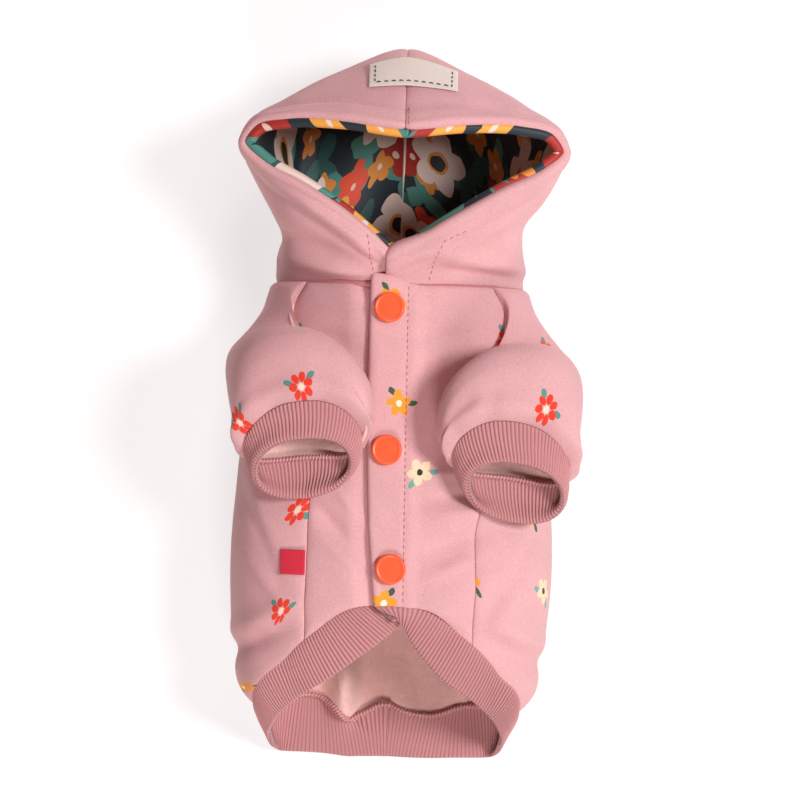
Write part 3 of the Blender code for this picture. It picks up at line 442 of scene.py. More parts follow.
# %% The sleeves
def ring_point(turn, rows, first):
    """A closed curve through four points: hood side at 90 degrees, inner side at 180, hem side at
    270 and outer side at 0. It is the first two harmonics of the turn that meet all four."""
    hood, inner, hem, outer = (rows[..., first + 3 * i: first + 3 * i + 3] for i in range(4))
    a = np.radians(turn)[..., None]
    across = np.sign(np.cos(a)) * np.abs(np.cos(a)) ** 0.9
    along = np.sign(np.sin(a)) * np.abs(np.sin(a)) ** 0.9
    return (
        (hood + inner + hem + outer) / 4
        + across * (outer - inner) / 2
        + along * (hood - hem) / 2
        + np.cos(2 * a) * (outer + inner - hood - hem) / 4
    )


def sleeve_root(turn, side):
    """The seam by which the sleeve joins the torso and the hood: along the neck seam between the
    two corners, down the front seam to the underarm at 270 degrees, and up the back seam."""
    turn = np.mod(turn - BACK_CORNER, 360.0) + BACK_CORNER
    neck_share = np.clip((FRONT_CORNER - turn) / (FRONT_CORNER - BACK_CORNER), 0.0, 1.0)
    neck_angle = ARMHOLE[0, 1] + (ARMHOLE[0, 2] - ARMHOLE[0, 1]) * neck_share
    front_share = (turn - FRONT_CORNER) / (UNDERARM - FRONT_CORNER)
    back_share = (BACK_CORNER + 360.0 - turn) / (BACK_CORNER + 360.0 - UNDERARM)
    on_front = (turn > FRONT_CORNER) & (turn <= UNDERARM)
    on_back = turn > UNDERARM
    y = armhole_y(np.where(on_front, front_share, np.where(on_back, back_share, 0.0)))
    seam = np.where(on_front, armhole_angle(y, 1), armhole_angle(y, 2))
    return torso(side * np.where(on_front | on_back, seam, neck_angle), y)


def sleeve(turn, along, side):
    """Point on the outer face of a sleeve (along 0 to 1) and its cuff (1 to 1.3).
    The rings of the table are joined smoothly; near the root they ease into the armhole's seam,
    and nowhere does the sleeve sink into the belly below it."""
    turn, along = np.broadcast_arrays(np.asarray(turn, float), np.asarray(along, float))
    rows = np.stack(
        [through(along, SLEEVE_RINGS, c) for c in range(2, SLEEVE_RINGS.shape[1])], axis=-1
    )
    sway = through(along, SLEEVE_RINGS, 1)
    share = ring_point(turn, rows, 0)
    underarm_y = NECK_Y - ARMHOLE_DEPTH
    x = side * (SLEEVE_SET + share[..., 0] * SLEEVE_WIDTH / 2) + SLEEVE_SWAY * sway
    y = underarm_y + share[..., 1] * SLEEVE_REACH - side * SLEEVE_DROP * sway
    z = CHEST_HEIGHT + share[..., 2] * SLEEVE_RISE
    free = np.stack([x, y, z], axis=-1)
    root = sleeve_root(turn, side)
    ease = (1 - np.clip(1 - along / 0.30, 0.0, 1.0) ** 2)[..., None]
    point = root * (1 - ease) + free * ease
    clearance = ROOT_CLEAR + (SLEEVE_CLEAR - ROOT_CLEAR) * np.clip(along / 0.06, 0.0, 1.0)
    return clear_of_torso(point, clearance)


print(
    "top of the left sleeve:",
    round(float(sleeve(np.arange(360.0), 0.82, -1.0)[:, 2].max()) / MM, 1), "mm",
)

# %% [markdown]
# ## The hood's surface
#
# The hood is a bag with an open face. Meridians run from the rim of the face opening over the
# outside down to the neck seam, each through five points: rim, crown, base, nape and neck.

# %% The hood
def hood(round_, down):
    """Point on the hood's outer face. round_ runs from -1 (left throat) over 0 (brow) to 1 (right
    throat); down runs from 0 (rim) to 1 (neck seam) along a meridian, through the meridian's five
    points, and never below the floor."""
    round_, down = np.broadcast_arrays(np.asarray(round_, float), np.asarray(down, float))
    at = 1.0 - np.abs(round_)
    side = np.sign(round_)
    columns = []
    for point in range(4):
        first = 2 + 3 * point
        x = through(at, HOOD_MERIDIANS, first) * HOOD_WIDTH / 2
        y = NECK_Y + through(at, HOOD_MERIDIANS, first + 1, BROW_LEVEL) * HOOD_LENGTH
        z = through(at, HOOD_MERIDIANS, first + 2, BROW_LEVEL) * HOOD_HEIGHT
        columns.append(np.stack([side * x, y, z], axis=-1))
    neck_angle = side * through(at, HOOD_MERIDIANS, 1)
    columns.append(torso(neck_angle, NECK_Y + 0 * at) + (0, SEAM_GAP / 2, 0))
    stations = np.array(HOOD_COLUMN_AT)
    points = np.stack(columns, axis=0)
    slopes = np.gradient(points, stations, axis=0)
    row = np.clip(np.searchsorted(stations, down, side="right") - 1, 0, len(stations) - 2)
    step = (stations[row + 1] - stations[row])[..., None]
    t = (down - stations[row])[..., None] / step

    def at_row(values, index):
        """The row that each point wants, out of arrays with a row for each station."""
        return np.take_along_axis(values, index[None, ..., None], axis=0)[0]

    ends = at_row(points, row), at_row(points, row + 1), at_row(slopes, row), at_row(slopes, row + 1)
    point = cubic(t, step, *ends)
    point[..., 0] -= THROAT_SHIFT * smooth_step((np.abs(round_) - 0.7) / 0.3)
    point[..., 2] = np.maximum(point[..., 2], 0.0)
    return point


print("from the neck seam to the crown:", HOOD_LENGTH / MM, "mm")

# %% [markdown]
# ## From a surface to a piece of cloth
#
# A panel is a grid of points on one of the three surfaces. Cloth has a thickness, its cut edge is
# round, and where it is sewn to the next panel it dives into the seam. All three come from one
# number per point, the distance to the nearest edge measured along the cloth. The rows and columns
# of a grid therefore stand close together near the edges and further apart between them.

# %% Distances, normals and noise
EDGE_STEPS = np.array([0.0, 0.12, 0.35, 0.7, 1.15, 1.8, 2.7, 3.8]) * MM


def edged(length, pitch, first=True, last=True):
    """Shares of a length, at EDGE_STEPS from its ends and pitch apart between."""
    low, high = EDGE_STEPS[-1] * first, length - EDGE_STEPS[-1] * last
    middle = np.linspace(low, high, int(round((high - low) / pitch)) + 1)
    before, after = EDGE_STEPS[:-1], (length - EDGE_STEPS[:-1])[::-1]
    return np.concatenate([before] * first + [middle] + [after] * last) / length


def run(points, axis):
    """Length along the grid from its first row or column, the running sum of the steps."""
    step = np.linalg.norm(np.diff(points, axis=axis), axis=-1)
    return np.concatenate([0 * step.take([0], axis), np.cumsum(step, axis)], axis)


def unit(vectors):
    """Vectors divided by their length."""
    return vectors / np.maximum(np.linalg.norm(vectors, axis=-1, keepdims=True), 1e-12)


def grid_normals(points, rounds):
    """Across the steps to the neighbours on both sides, then averaged with the neighbours."""
    normal = unit(np.cross(np.gradient(points, axis=1), np.gradient(points, axis=0)))
    for _ in range(rounds):
        soft = normal.copy()
        soft[1:-1] += normal[:-2] + normal[2:]
        soft[:, 1:-1] += normal[:, :-2] + normal[:, 2:]
        normal = unit(soft)
    return normal


def noise(points, size):
    """Smooth noise from -1 to 1: a value for each corner of a lattice of cubes, from the fraction
    of a large sine, blended across the cube by smooth steps. It is the same on each run."""
    cell = points / size
    corner = np.floor(cell)
    near = smooth_step(cell - corner)
    total = 0.0
    for side in np.ndindex(2, 2, 2):
        value = np.mod(np.sin((corner + side) @ (127.1, 311.7, 74.7)) * 43758.5453, 1.0) * 2 - 1
        weight = np.prod(np.where(np.array(side) == 1, near, 1 - near), axis=-1)
        total = total + value * weight
    return total


def hump(distance, width):
    """A smooth bump, 1 at distance 0 and nearly 0 two widths away."""
    return np.exp(-((distance / width) ** 2))


print("steps near an edge, in mm:", EDGE_STEPS / MM)

# %% [markdown]
# The shell itself is two copies of the grid, the face and the back of the cloth, joined round their
# edges. Its UV map holds millimetres of flat cloth, measured along the rows and columns, so a print
# or a rib laid on it has its real size and bends with the panel.

# %% Meshes from arrays, and their flat cloth
RELAX_ROUNDS = 120
made_triangles = {}


def quads(rows, columns, around):
    """Corners of each cell, as row and column numbers. A closed ring has one more cell."""
    i, j = np.mgrid[0:rows - 1, 0:columns if around else columns - 1]
    i, j = i.ravel(), j.ravel()
    return np.stack([i, i + 1, i + 1, i], -1), np.stack([j, j, j + 1, j + 1], -1)


def placed(name, data):
    """A new object in the scene, for a mesh, a lamp or a camera."""
    made = bpy.data.objects.new(name, data)
    bpy.context.scene.collection.objects.link(made)
    return made


def fill_mesh(name, points, faces, flat, slots, materials):
    """A mesh from arrays: points, four corners a face, a place on the flat cloth for each corner
    of each face, and a material number for each face. Its faces are then turned outwards."""
    mesh = bpy.data.meshes.new(name)
    mesh.from_pydata((points + GARMENT_MIDDLE).tolist(), [], faces.tolist())
    layer = mesh.uv_layers.new(name="flat_cloth")
    layer.data.foreach_set("uv", flat.astype(np.float32).ravel())
    mesh.polygons.foreach_set("material_index", slots.astype(np.int32))
    for material in materials:
        mesh.materials.append(material)
    bm = bmesh.new()
    bm.from_mesh(mesh)
    bmesh.ops.recalc_face_normals(bm, faces=bm.faces)
    bm.to_mesh(mesh)
    bm.free()
    mesh.shade_smooth()
    made_triangles[name] = sum(len(face) - 2 for face in faces)
    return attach(placed(name, mesh), "root")


def laid_flat(points, around=False, start=(0.0, 0.0)):
    """Places on the flat cloth in mm: lengths across from the middle column, and down the rows."""
    closed = np.concatenate([points, points[:, :1]], axis=1) if around else points
    middle = closed.shape[1] // 2
    across = run(closed, 1)
    return np.stack([across - across[:, middle:middle + 1], -run(closed, 0)], -1) / MM + start


def relaxed(points, flat):
    """The flat cloth relaxed as a net of springs: every link between two points, first long ones
    and then short ones, pulls or pushes them to the distance that they have on the surface."""
    flat = flat.copy()
    for reach in (6, 3, 1):
        links = []
        for down, across in ((0, reach), (reach, 0), (reach, reach), (reach, -reach)):
            one = np.s_[:points.shape[0] - down, max(0, -across):points.shape[1] - max(0, across)]
            two = np.s_[down:, max(0, across):points.shape[1] + min(0, across)]
            links.append((one, two, np.linalg.norm(points[one] - points[two], axis=-1) / MM))
        for _ in range(RELAX_ROUNDS):
            pull, count = np.zeros_like(flat), np.zeros(flat.shape[:2])
            for one, two, length in links:
                gap = flat[two] - flat[one]
                now = np.maximum(np.linalg.norm(gap, axis=-1), 1e-6)
                move = gap * (0.5 * (1 - length / now))[..., None]
                pull[one] += move
                pull[two] -= move
                count[one] += 1
                count[two] += 1
            flat += pull / np.maximum(count, 1)[..., None] * 1.2
    return flat


print("rounds of the springs, for each reach:", RELAX_ROUNDS)

# %% [markdown]
# Face and back are joined by one row of faces round each edge. At a cut edge both close in as a
# half circle does, and at a sewn edge they dive into the seam by an exponential.

# %% Face, back and edges
SEAM_SINK = 1.1 * MM
SEAM_SOFT = 2.0 * MM
SEAM_ROUND = 0.35 * MM


def shell(name, face, back, materials, around=False, flat=None):
    """Two grids joined round their edges, the first in materials[0], the last in materials[-1].
    flat is the place of each point on the flat cloth in mm; a ring has its first column twice."""
    rows, columns = face.shape[:2]
    count = rows * columns
    row, column = quads(rows, columns, around)
    cells = row * columns + column % columns
    if flat is None:
        flat = laid_flat(face, around)
    cell_flat = flat[row, column]
    edges, edge_flat = [], []
    j = np.arange(columns if around else columns - 1)
    for i in (0, rows - 1):
        a, b = i * columns + j, i * columns + (j + 1) % columns
        edges.append(np.stack([a, b, b + count, a + count], -1))
        edge_flat.append(flat[i, np.stack([j, j + 1, j + 1, j], -1)])
    if not around:
        i = np.arange(rows - 1)
        for k in (0, columns - 1):
            a, b = i * columns + k, (i + 1) * columns + k
            edges.append(np.stack([a, b, b + count, a + count], -1))
            edge_flat.append(flat[np.stack([i, i + 1, i + 1, i], -1), k])
    faces = np.concatenate([cells, (cells + count)[:, ::-1], *edges])
    corners = np.concatenate([cell_flat, cell_flat[:, ::-1], *edge_flat])
    slots = np.zeros(len(faces))
    slots[len(cells):2 * len(cells)] = len(materials) - 1
    points = np.concatenate([face.reshape(-1, 3), back.reshape(-1, 3)])
    return fill_mesh(name, points, faces, corners, slots, materials)


def cloth(name, points, normal, wall, materials, around=False, sewn="tblr", flat=None, sink=1.0):
    """Cloth of a thickness below a grid of points. Both faces close in towards a free edge by half
    a circle, and sewn edges (top, bottom, left, right) sink into their seam instead."""
    down, across = run(points, 0), run(points, 1)
    far = {"t": down, "b": down[-1:] - down}
    if not around:
        far.update({"l": across, "r": across[:, -1:] - across})
    far_off = np.full_like(down, 1.0)
    edge = np.minimum.reduce([far[s] for s in far if s not in sewn] or [far_off])
    to_seam = np.minimum.reduce([far[s] for s in far if s in sewn] or [far_off])
    wall = wall + 0 * edge
    open_ = np.clip(edge / (0.6 * wall), 0, 1)
    sewn_open = np.clip(to_seam / SEAM_ROUND, 0, 1)
    closing = (wall / 2) * (1 - np.sqrt(1 - (1 - open_) ** 2))
    closing = np.maximum(closing, SEAM_ROUND * (1 - np.sqrt(1 - (1 - sewn_open) ** 2)))
    dive = sink * SEAM_SINK * np.exp(-to_seam / SEAM_SOFT)
    face = points - normal * (closing + dive)[..., None]
    back = points - normal * (wall - closing + 0.4 * dive)[..., None]
    return shell(name, face, back, materials, around, flat)


print("a sewn edge sinks", SEAM_SINK / MM, "mm into its seam")

# %% [markdown]
# ## Colours and nodes
#
# Every material is built from shader nodes. One function adds a node with its settings and links,
# and one turns a colour picked in a paint program, which is sRGB, into the linear colour that the
# renderer works in. Patterns read either the flat cloth of the UV map or the object's own place.

# %% Helpers for materials
def linear(colour):
    """An sRGB hex colour as linear light: the low end divided, the rest raised to 2.4."""
    part = np.array([int(colour[i:i + 2], 16) for i in (1, 3, 5)]) / 255
    light = np.where(part <= 0.04045, part / 12.92, ((part + 0.055) / 1.055) ** 2.4)
    return (*light.tolist(), 1.0)


def add(tree, kind, inputs=(), out=0, **settings):
    """Adds a node. Its kind may be followed by its operation. Its inputs are given in order or by
    name; a socket is linked, a value is set."""
    kind, *operation = kind.split()
    made = tree.nodes.new("ShaderNode" + kind)
    for word in operation:
        made.operation = word
    for key, value in settings.items():
        setattr(made, key, value)
    for key, value in inputs.items() if isinstance(inputs, dict) else enumerate(inputs):
        if isinstance(value, bpy.types.NodeSocket):
            tree.links.new(value, made.inputs[key])
        elif value is not None:
            made.inputs[key].default_value = value
    return made.outputs[out]


def start(name, finish):
    """A new material whose shader has the settings of its finish. Returns it, its node tree, its
    shader, and two vectors in millimetres: flat, on the cloth's UV map, and solid, in space."""
    material = bpy.data.materials.new(name)
    material.use_nodes = True
    tree = material.node_tree
    shader = tree.nodes["Principled BSDF"]
    for setting, value in {"Metallic": 0.0, **finish}.items():
        shader.inputs[setting].default_value = value
    flat = add(tree, "UVMap", uv_map="flat_cloth")
    solid = add(tree, "VectorMath SCALE", {0: add(tree, "TexCoord", out=3), "Scale": 1 / MM})
    return material, tree, shader, flat, solid


def surface_of(tree, shader, colour, height, strength, distance):
    """Links the colour to the shader, and the height as bump, distance in metres."""
    bump = add(tree, "Bump", {"Strength": strength, "Distance": distance, "Height": height})
    tree.links.new(bump, shader.inputs["Normal"])
    tree.links.new(colour, shader.inputs["Base Color"])


KNIT_PINK = "#D9A7AA"
print("pink of the knit in linear light:", [round(v, 3) for v in linear(KNIT_PINK)[:3]])

# %% [markdown]
# ## A printed flower as a formula
#
# Fabric is printed with a repeat, which is only a drawing. A simple flower is a ring of ellipses:
# fold the angle round the middle so that every petal lies on the first one, then test whether the
# point is inside that ellipse. The flowers are scattered by a Voronoi texture, whose cells give
# each flower its middle, a turn and a colour of its own. The motifs here are plain five and seven
# petal flowers laid out by that scatter.

# %% Flowers scattered on flat cloth
FULL_TURN = 2 * math.pi


def scatter(tree, place, cell, jitter, shift):
    """Splits flat cloth into cells. Returns the point's x and y from its cell's middle, turned by
    the cell's own angle, and three random numbers of the cell."""
    moved = add(tree, "VectorMath ADD", [place, (*shift, 0)])
    cells = add(
        tree, "TexVoronoi", {"Vector": moved, "Scale": 1 / cell, "Randomness": jitter},
        out="Position", voronoi_dimensions="2D",
    )
    local = add(tree, "VectorMath SUBTRACT", [moved, cells])
    chance = cells.node.outputs["Color"]
    split = add(tree, "SeparateColor", [chance]).node
    angle = add(tree, "Math MULTIPLY", [split.outputs[0], FULL_TURN])
    turned = add(tree, "VectorRotate", {"Vector": local, "Angle": angle}, rotation_type="Z_AXIS")
    apart = add(tree, "SeparateXYZ", [turned]).node
    return apart.outputs[0], apart.outputs[1], split.outputs


def petals(tree, x, y, count, reach, length, width):
    """1 inside a ring of count ellipses whose middles lie reach from the flower's middle: the angle
    is folded into one petal's sector, x and y are taken anew from it, and the point is inside where
    the squares of x / length and y / width add up to less than 1. Also the radius."""
    sector = FULL_TURN / count
    angle = add(tree, "Math ARCTAN2", [y, x])
    folded = add(tree, "Math WRAP", [angle, sector / 2, -sector / 2])
    square = add(tree, "Math MULTIPLY", [x, x])
    radius = add(tree, "Math MULTIPLY_ADD", [y, y, square])
    radius = add(tree, "Math POWER", [radius, 0.5])
    cosine = add(tree, "Math COSINE", [folded])
    sine = add(tree, "Math SINE", [folded])
    along = add(tree, "Math MULTIPLY", [radius, cosine])
    aside = add(tree, "Math MULTIPLY", [radius, sine])
    along = add(tree, "Math SUBTRACT", [along, reach])
    along = add(tree, "Math DIVIDE", [along, length])
    aside = add(tree, "Math DIVIDE", [aside, width])
    along = add(tree, "Math MULTIPLY", [along, along])
    inside = add(tree, "Math MULTIPLY_ADD", [aside, aside, along])
    return add(tree, "Math LESS_THAN", [inside, 1.0]), radius


print("a flower is a ring of ellipses, tested in one sector")

# %% [markdown]
# Cloth is printed in layers, one screen for each ink, which goes on where the shape is 1. A screen
# is drawn by hand, so the place is first pushed about a little by noise, which bends every edge.

# %% Inks, and a layer of flowers
def print_over(tree, ground, shape, chance, inks):
    """Prints a shape over a ground. The ink is chosen by the flower's own random number, from rows
    of (from this value on, hex colour)."""
    ramp = add(tree, "ValToRGB", [chance]).node
    ramp.color_ramp.interpolation = "CONSTANT"
    while len(ramp.color_ramp.elements) < len(inks):
        ramp.color_ramp.elements.new(0.5)
    for element, (position, colour) in zip(ramp.color_ramp.elements, inks):
        element.position = position
        element.color = linear(colour)
    return add(tree, "Mix", {0: shape, 6: ground, 7: ramp.outputs[0]}, out=2, data_type="RGBA")


def hand_drawn(tree, place, size, wobble):
    """Pushes each point a little aside by noise, so that no printed edge is quite exact."""
    push = add(tree, "TexNoise", {"Vector": place, "Scale": 1 / size, "Detail": 1.0}, out="Color")
    centred = add(tree, "VectorMath SUBTRACT", [push, (0.5, 0.5, 0.5)])
    return add(tree, "VectorMath MULTIPLY_ADD", [centred, (wobble, wobble, 0), place])


def flower_layer(tree, ground, place, cell, jitter, shift, keep, petal, inks, discs):
    """Flowers of one kind over a ground. keep is the share of the cells that hold one, petal is
    (how many, reach, length, width) and discs are rows of (radius, inks) for the flower's middle."""
    x, y, chance = scatter(tree, place, cell, jitter, shift)
    shape, radius = petals(tree, x, y, *petal)
    here = add(tree, "Math LESS_THAN", [chance[2], keep])
    shape = add(tree, "Math MULTIPLY", [shape, here])
    ground = print_over(tree, ground, shape, chance[1], inks)
    for disc, disc_inks in discs:
        shape = add(tree, "Math LESS_THAN", [radius, disc])
        shape = add(tree, "Math MULTIPLY", [shape, here])
        ground = print_over(tree, ground, shape, chance[1], disc_inks)
    return ground


print("a scattered flower is a folded ellipse and its discs")

# %% [markdown]
# ## Brushed double knit
#
# The outer cloth is a double knit of cotton and polyester, brushed soft on its back. Its face is
# matt and even, with a fine grain of stitches about 0.6 mm wide that is drawn nearly twice as wide
# here to show at all, and a faint sheen of loose fibre at grazing angles. The print is scattered:
# one small flower to about 45 mm of cloth.

# %% The knit, printed and plain
STITCH_WIDTH = 1.0          # mm; a stitch is 0.6 mm wide, too fine for this picture
WAVE_SCALE = 0.314          # scale of a wave texture whose bands are 1 mm apart
PRINT_CELL = 44.0           # mm of cloth to each flower


def stitch_grain(tree, solid, flat):
    """Fine noise, and a relief of it with the columns of stitches as waves on the flat cloth."""
    fine = add(tree, "TexNoise", {"Vector": solid, "Scale": 1.6, "Detail": 3.0, "Roughness": 0.6})
    bands = {"Vector": flat, "Scale": WAVE_SCALE / STITCH_WIDTH, "Distortion": 0.6, "Detail": 1.0}
    wave = add(tree, "TexWave", bands, out="Fac", bands_direction="X")
    return fine, add(tree, "Math MULTIPLY_ADD", [wave, 0.35, fine])


def tinted(tree, ground, fine, solid, amount):
    """The colour a little lighter and darker, by fine grain and by broad patches."""
    broad = add(tree, "TexNoise", {"Vector": solid, "Scale": 0.05, "Detail": 2.0})
    both = add(tree, "Math MULTIPLY_ADD", [broad, 0.25, fine])
    level = add(tree, "MapRange", [both, 0.3, 0.95, 1 - amount, 1 + amount])
    return add(tree, "VectorMath SCALE", {0: ground, "Scale": level})


def knit(name, printed):
    """The face of the double knit. A printed flower has a red ring of seven petals or an orange or
    cream one of five, a disc in its middle, and a leaf on the side where x is below 0."""
    material, tree, shader, flat, solid = start(name, {
        "Roughness": 0.82, "Specular IOR Level": 0.25,
        "Sheen Weight": 0.25, "Sheen Roughness": 0.5, "Sheen Tint": linear("#FFE3E0"),
    })
    colour = add(tree, "RGB")
    colour.default_value = linear(KNIT_PINK)
    if printed:
        place = hand_drawn(tree, flat, 2.5, 1.0)
        x, y, chance = scatter(tree, place, PRINT_CELL, 0.75, (7.0, 19.0))
        leaves, _ = petals(tree, x, y, 3, 6.3, 2.3, 1.25)
        behind = add(tree, "Math LESS_THAN", [x, 0.0])
        leaves = add(tree, "Math MULTIPLY", [leaves, behind])
        colour = print_over(tree, colour, leaves, chance[1], PRINT_LEAVES)
        five, radius = petals(tree, x, y, 5, 3.5, 2.5, 2.0)
        seven, _ = petals(tree, x, y, 7, 3.9, 2.1, 1.55)
        reds = add(tree, "Math LESS_THAN", [chance[1], 0.4])
        petal = add(tree, "Mix", {0: reds, 2: five, 3: seven})
        colour = print_over(tree, colour, petal, chance[1], PRINT_PETALS)
        middle = add(tree, "Math LESS_THAN", [radius, 1.45])
        colour = print_over(tree, colour, middle, chance[1], PRINT_MIDDLES)
    fine, height = stitch_grain(tree, solid, flat)
    surface_of(tree, shader, tinted(tree, colour, fine, solid, 0.2), height, 0.5, 0.00016)
    return material


PRINT_PETALS = [(0.0, "#E8402C"), (0.4, "#F3A136"), (0.72, "#F4D3AF")]
PRINT_LEAVES = [(0.0, "#5A9488"), (0.4, "#41604A"), (0.72, "#6FA79A")]
PRINT_MIDDLES = [(0.0, "#F7DCC0"), (0.4, "#F9EBD2"), (0.72, "#26382F")]
printed_knit = knit("brushed_double_knit_with_small_flowers", True)
plain_knit = knit("brushed_double_knit_plain", False)

print("the knit, printed and plain:", printed_knit.name, plain_knit.name)

# %% [markdown]
# The back of the cloth is brushed by wire rollers, which tear its loops into a short soft nap. It
# scatters light more than the face does, so it looks paler.

# %% Brushed back
NAP_PINK = "#F2C4BC"


def brushed_back():
    """Fine noise and larger tufts add up to both the height and the tone of the nap."""
    material, tree, shader, _, solid = start("brushed_nap_of_the_knit", {
        "Roughness": 0.95, "Specular IOR Level": 0.1, "Sheen Weight": 0.5, "Sheen Roughness": 0.6,
    })
    nap = add(tree, "TexNoise", {"Vector": solid, "Scale": 0.9, "Detail": 6.0, "Roughness": 0.72})
    tufts = add(tree, "TexNoise", {"Vector": solid, "Scale": 0.22, "Detail": 3.0, "Distortion": 0.8})
    both = add(tree, "Math MULTIPLY_ADD", [tufts, 0.6, nap])
    level = add(tree, "MapRange", [both, 0.55, 1.05, 0.86, 1.1])
    colour = add(tree, "VectorMath SCALE", {0: linear(NAP_PINK)[:3], "Scale": level})
    surface_of(tree, shader, colour, both, 0.8, 0.00045)
    return material


nap = brushed_back()
print("nap:", nap.name)

# %% [markdown]
# ## Rib knit
#
# Cuffs and hem are rib knit, whose columns of stitches stand up in ridges 1.7 mm apart, so it
# stretches and springs back. The ridges are real geometry, made later. The material only adds what
# is finer: the V of each knitted stitch on a ridge, and less light in the valley between.

# %% Rib knit
RIB_PINK = "#C3888A"
RIB_PITCH = 1.7             # mm
STITCH_PITCH = 1.1          # mm down a rib


def rib_knit():
    """Colour and relief by the place across a rib: the cosine of the place is 1 in the valley and
    -1 on the ridge. The colour is darkened towards the valley as painted shade. Stitches are a sine
    down the rib, held back by that cosine into a V."""
    material, tree, shader, flat, solid = start("rib_knit", {
        "Roughness": 0.88, "Specular IOR Level": 0.2, "Sheen Weight": 0.3,
    })
    apart = add(tree, "SeparateXYZ", [flat]).node
    turn = add(tree, "Math MULTIPLY", [apart.outputs[0], FULL_TURN / RIB_PITCH])
    ridge = add(tree, "Math COSINE", [turn])
    chevron = add(tree, "Math MULTIPLY", [ridge, 1.2])
    down = [apart.outputs[1], FULL_TURN / STITCH_PITCH, chevron]
    steps = add(tree, "Math MULTIPLY_ADD", down)
    stitch = add(tree, "Math SINE", [steps])
    fine = add(tree, "TexNoise", {"Vector": solid, "Scale": 2.0, "Detail": 3.0})
    height = add(tree, "Math MULTIPLY_ADD", [stitch, 0.35, fine])
    # painted shade: the rib's colour darkens towards the valley between two ridges
    level = add(tree, "MapRange", [ridge, 0.25, 1.0, 1.03, 0.66])
    colour = add(tree, "VectorMath SCALE", {0: linear(RIB_PINK)[:3], "Scale": level})
    surface_of(tree, shader, tinted(tree, colour, fine, solid, 0.06), height, 0.5, 0.00016)
    return material


ribbed = rib_knit()
print("rib pitch", RIB_PITCH, "mm")

# %% [markdown]
# ## Printed lining
#
# The hood is lined with a smooth, slightly shiny woven cloth. Its print is large: leaves first,
# then red, orange and cream flowers over one another on a dark ground, each kind a layer of the
# same scatter with its own cell size.

# %% Printed lining
LINING_LAYERS = [
    # cell, jitter, shift, keep, (petals, reach, length, width)
    # inks, discs
    (27.0, 0.80, (3.0, 8.0), 0.95, (3, 7.5, 8.0, 4.4),
     [(0, "#2C5B58"), (0.5, "#4C8A80")], []),
    (33.0, 0.70, (14.0, 2.0), 0.75, (5, 5.6, 5.0, 3.9),
     [(0, "#A82A20"), (0.55, "#E94B2A")], [(1.6, [(0, "#E9C9B8")])]),
    (25.0, 0.80, (9.0, 15.0), 0.72, (5, 4.2, 3.6, 2.9),
     [(0, "#DF8C37"), (0.6, "#EFA945")], [(1.5, [(0, "#EBD7CB")])]),
    (45.0, 0.55, (27.0, 11.0), 1.00, (5, 8.2, 7.2, 5.6),
     [(0, "#E9D2C8")], [(5.2, [(0, "#DC8E3E")]), (3.7, [(0, "#15191C")])]),
]
LINING_GROUND = "#1B2A33"


def printed_lining():
    """Dark ground, then the layers of the print, and a diagonal weave as faint relief."""
    material, tree, shader, flat, solid = start("printed_satin_lining", {
        "Roughness": 0.55, "Specular IOR Level": 0.4, "Sheen Weight": 0.15,
    })
    place = hand_drawn(tree, flat, 9.0, 4.0)
    colour = add(tree, "RGB")
    colour.default_value = linear(LINING_GROUND)
    for row in LINING_LAYERS:
        colour = flower_layer(tree, colour, place, *row)
    bands = {"Vector": flat, "Scale": 0.4, "Distortion": 0.3}
    weave = add(tree, "TexWave", bands, out="Fac", bands_direction="DIAGONAL")
    fine = add(tree, "TexNoise", {"Vector": solid, "Scale": 1.5, "Detail": 2.0})
    height = add(tree, "Math MULTIPLY_ADD", [weave, 0.4, fine])
    surface_of(tree, shader, tinted(tree, colour, fine, solid, 0.04), height, 0.15, 0.0001)
    return material


lining = printed_lining()
print("layers of the large print:", len(LINING_LAYERS))

# %% [markdown]
# ## Snaps, threads, patch and tab
#
# The snaps are moulded acetal, an even orange with a satin shine. Sewing thread is glossy twisted
# polyester. The patch is cream cotton twill and the tab a red satin ribbon, both left bare.

# %% Plastic, thread, twill and ribbon
def plain_material(name, colour, roughness=0.5, grain_size=0.6, height=0.00005, tone=0.04):
    """An even material with a little fine relief and a slight change of tone, both by one noise."""
    material, tree, shader, _, solid = start(name, {"Roughness": roughness})
    fine = add(tree, "TexNoise", {"Vector": solid, "Scale": 1 / grain_size, "Detail": 3.0})
    ground = add(tree, "RGB")
    ground.default_value = linear(colour)
    surface_of(tree, shader, tinted(tree, ground, fine, solid, tone), fine, 0.3, height)
    return material


def woven(name, colour, thread, roughness, sheen):
    """Cloth with a visible weave: two crossed waves, thread millimetres apart. The colour is darker
    where the weave's relief is low, as painted shade between the threads.
    """
    finish = {"Roughness": roughness, "Sheen Weight": sheen}
    material, tree, shader, flat, solid = start(name, finish)
    wave = {"Vector": flat, "Scale": WAVE_SCALE / thread}
    warp = add(tree, "TexWave", wave, out="Fac", bands_direction="X")
    weft = add(tree, "TexWave", wave, out="Fac", bands_direction="Y")
    cross = add(tree, "Math MULTIPLY", [warp, weft])
    fine = add(tree, "TexNoise", {"Vector": solid, "Scale": 1.5, "Detail": 3.0})
    height = add(tree, "Math MULTIPLY_ADD", [fine, 0.5, cross])
    # painted shade: the colour is darker where the weave's relief is low, between the threads
    level = add(tree, "MapRange", [height, 0.2, 1.1, 0.86, 1.05])
    tone = add(tree, "VectorMath SCALE", {0: linear(colour)[:3], "Scale": level})
    surface_of(tree, shader, tone, height, 0.6, 0.00012)
    return material


acetal = plain_material("moulded_acetal_orange", "#FF6236", 0.36, 2.0, 0.00004, 0.03)
pink_thread = plain_material("polyester_thread_pink", "#C07C80")
pale_thread = plain_material("polyester_thread_pale_pink", "#E3AEAE")
dark_thread = plain_material("polyester_thread_black", "#231F22")
twill = woven("cotton_twill_cream", "#EFE5DA", 0.8, 0.85, 0.2)
ribbon = woven("satin_ribbon_red", "#DB2340", 0.6, 0.5, 0.3)
print("materials:", len([m for m in bpy.data.materials if m.use_nodes]))

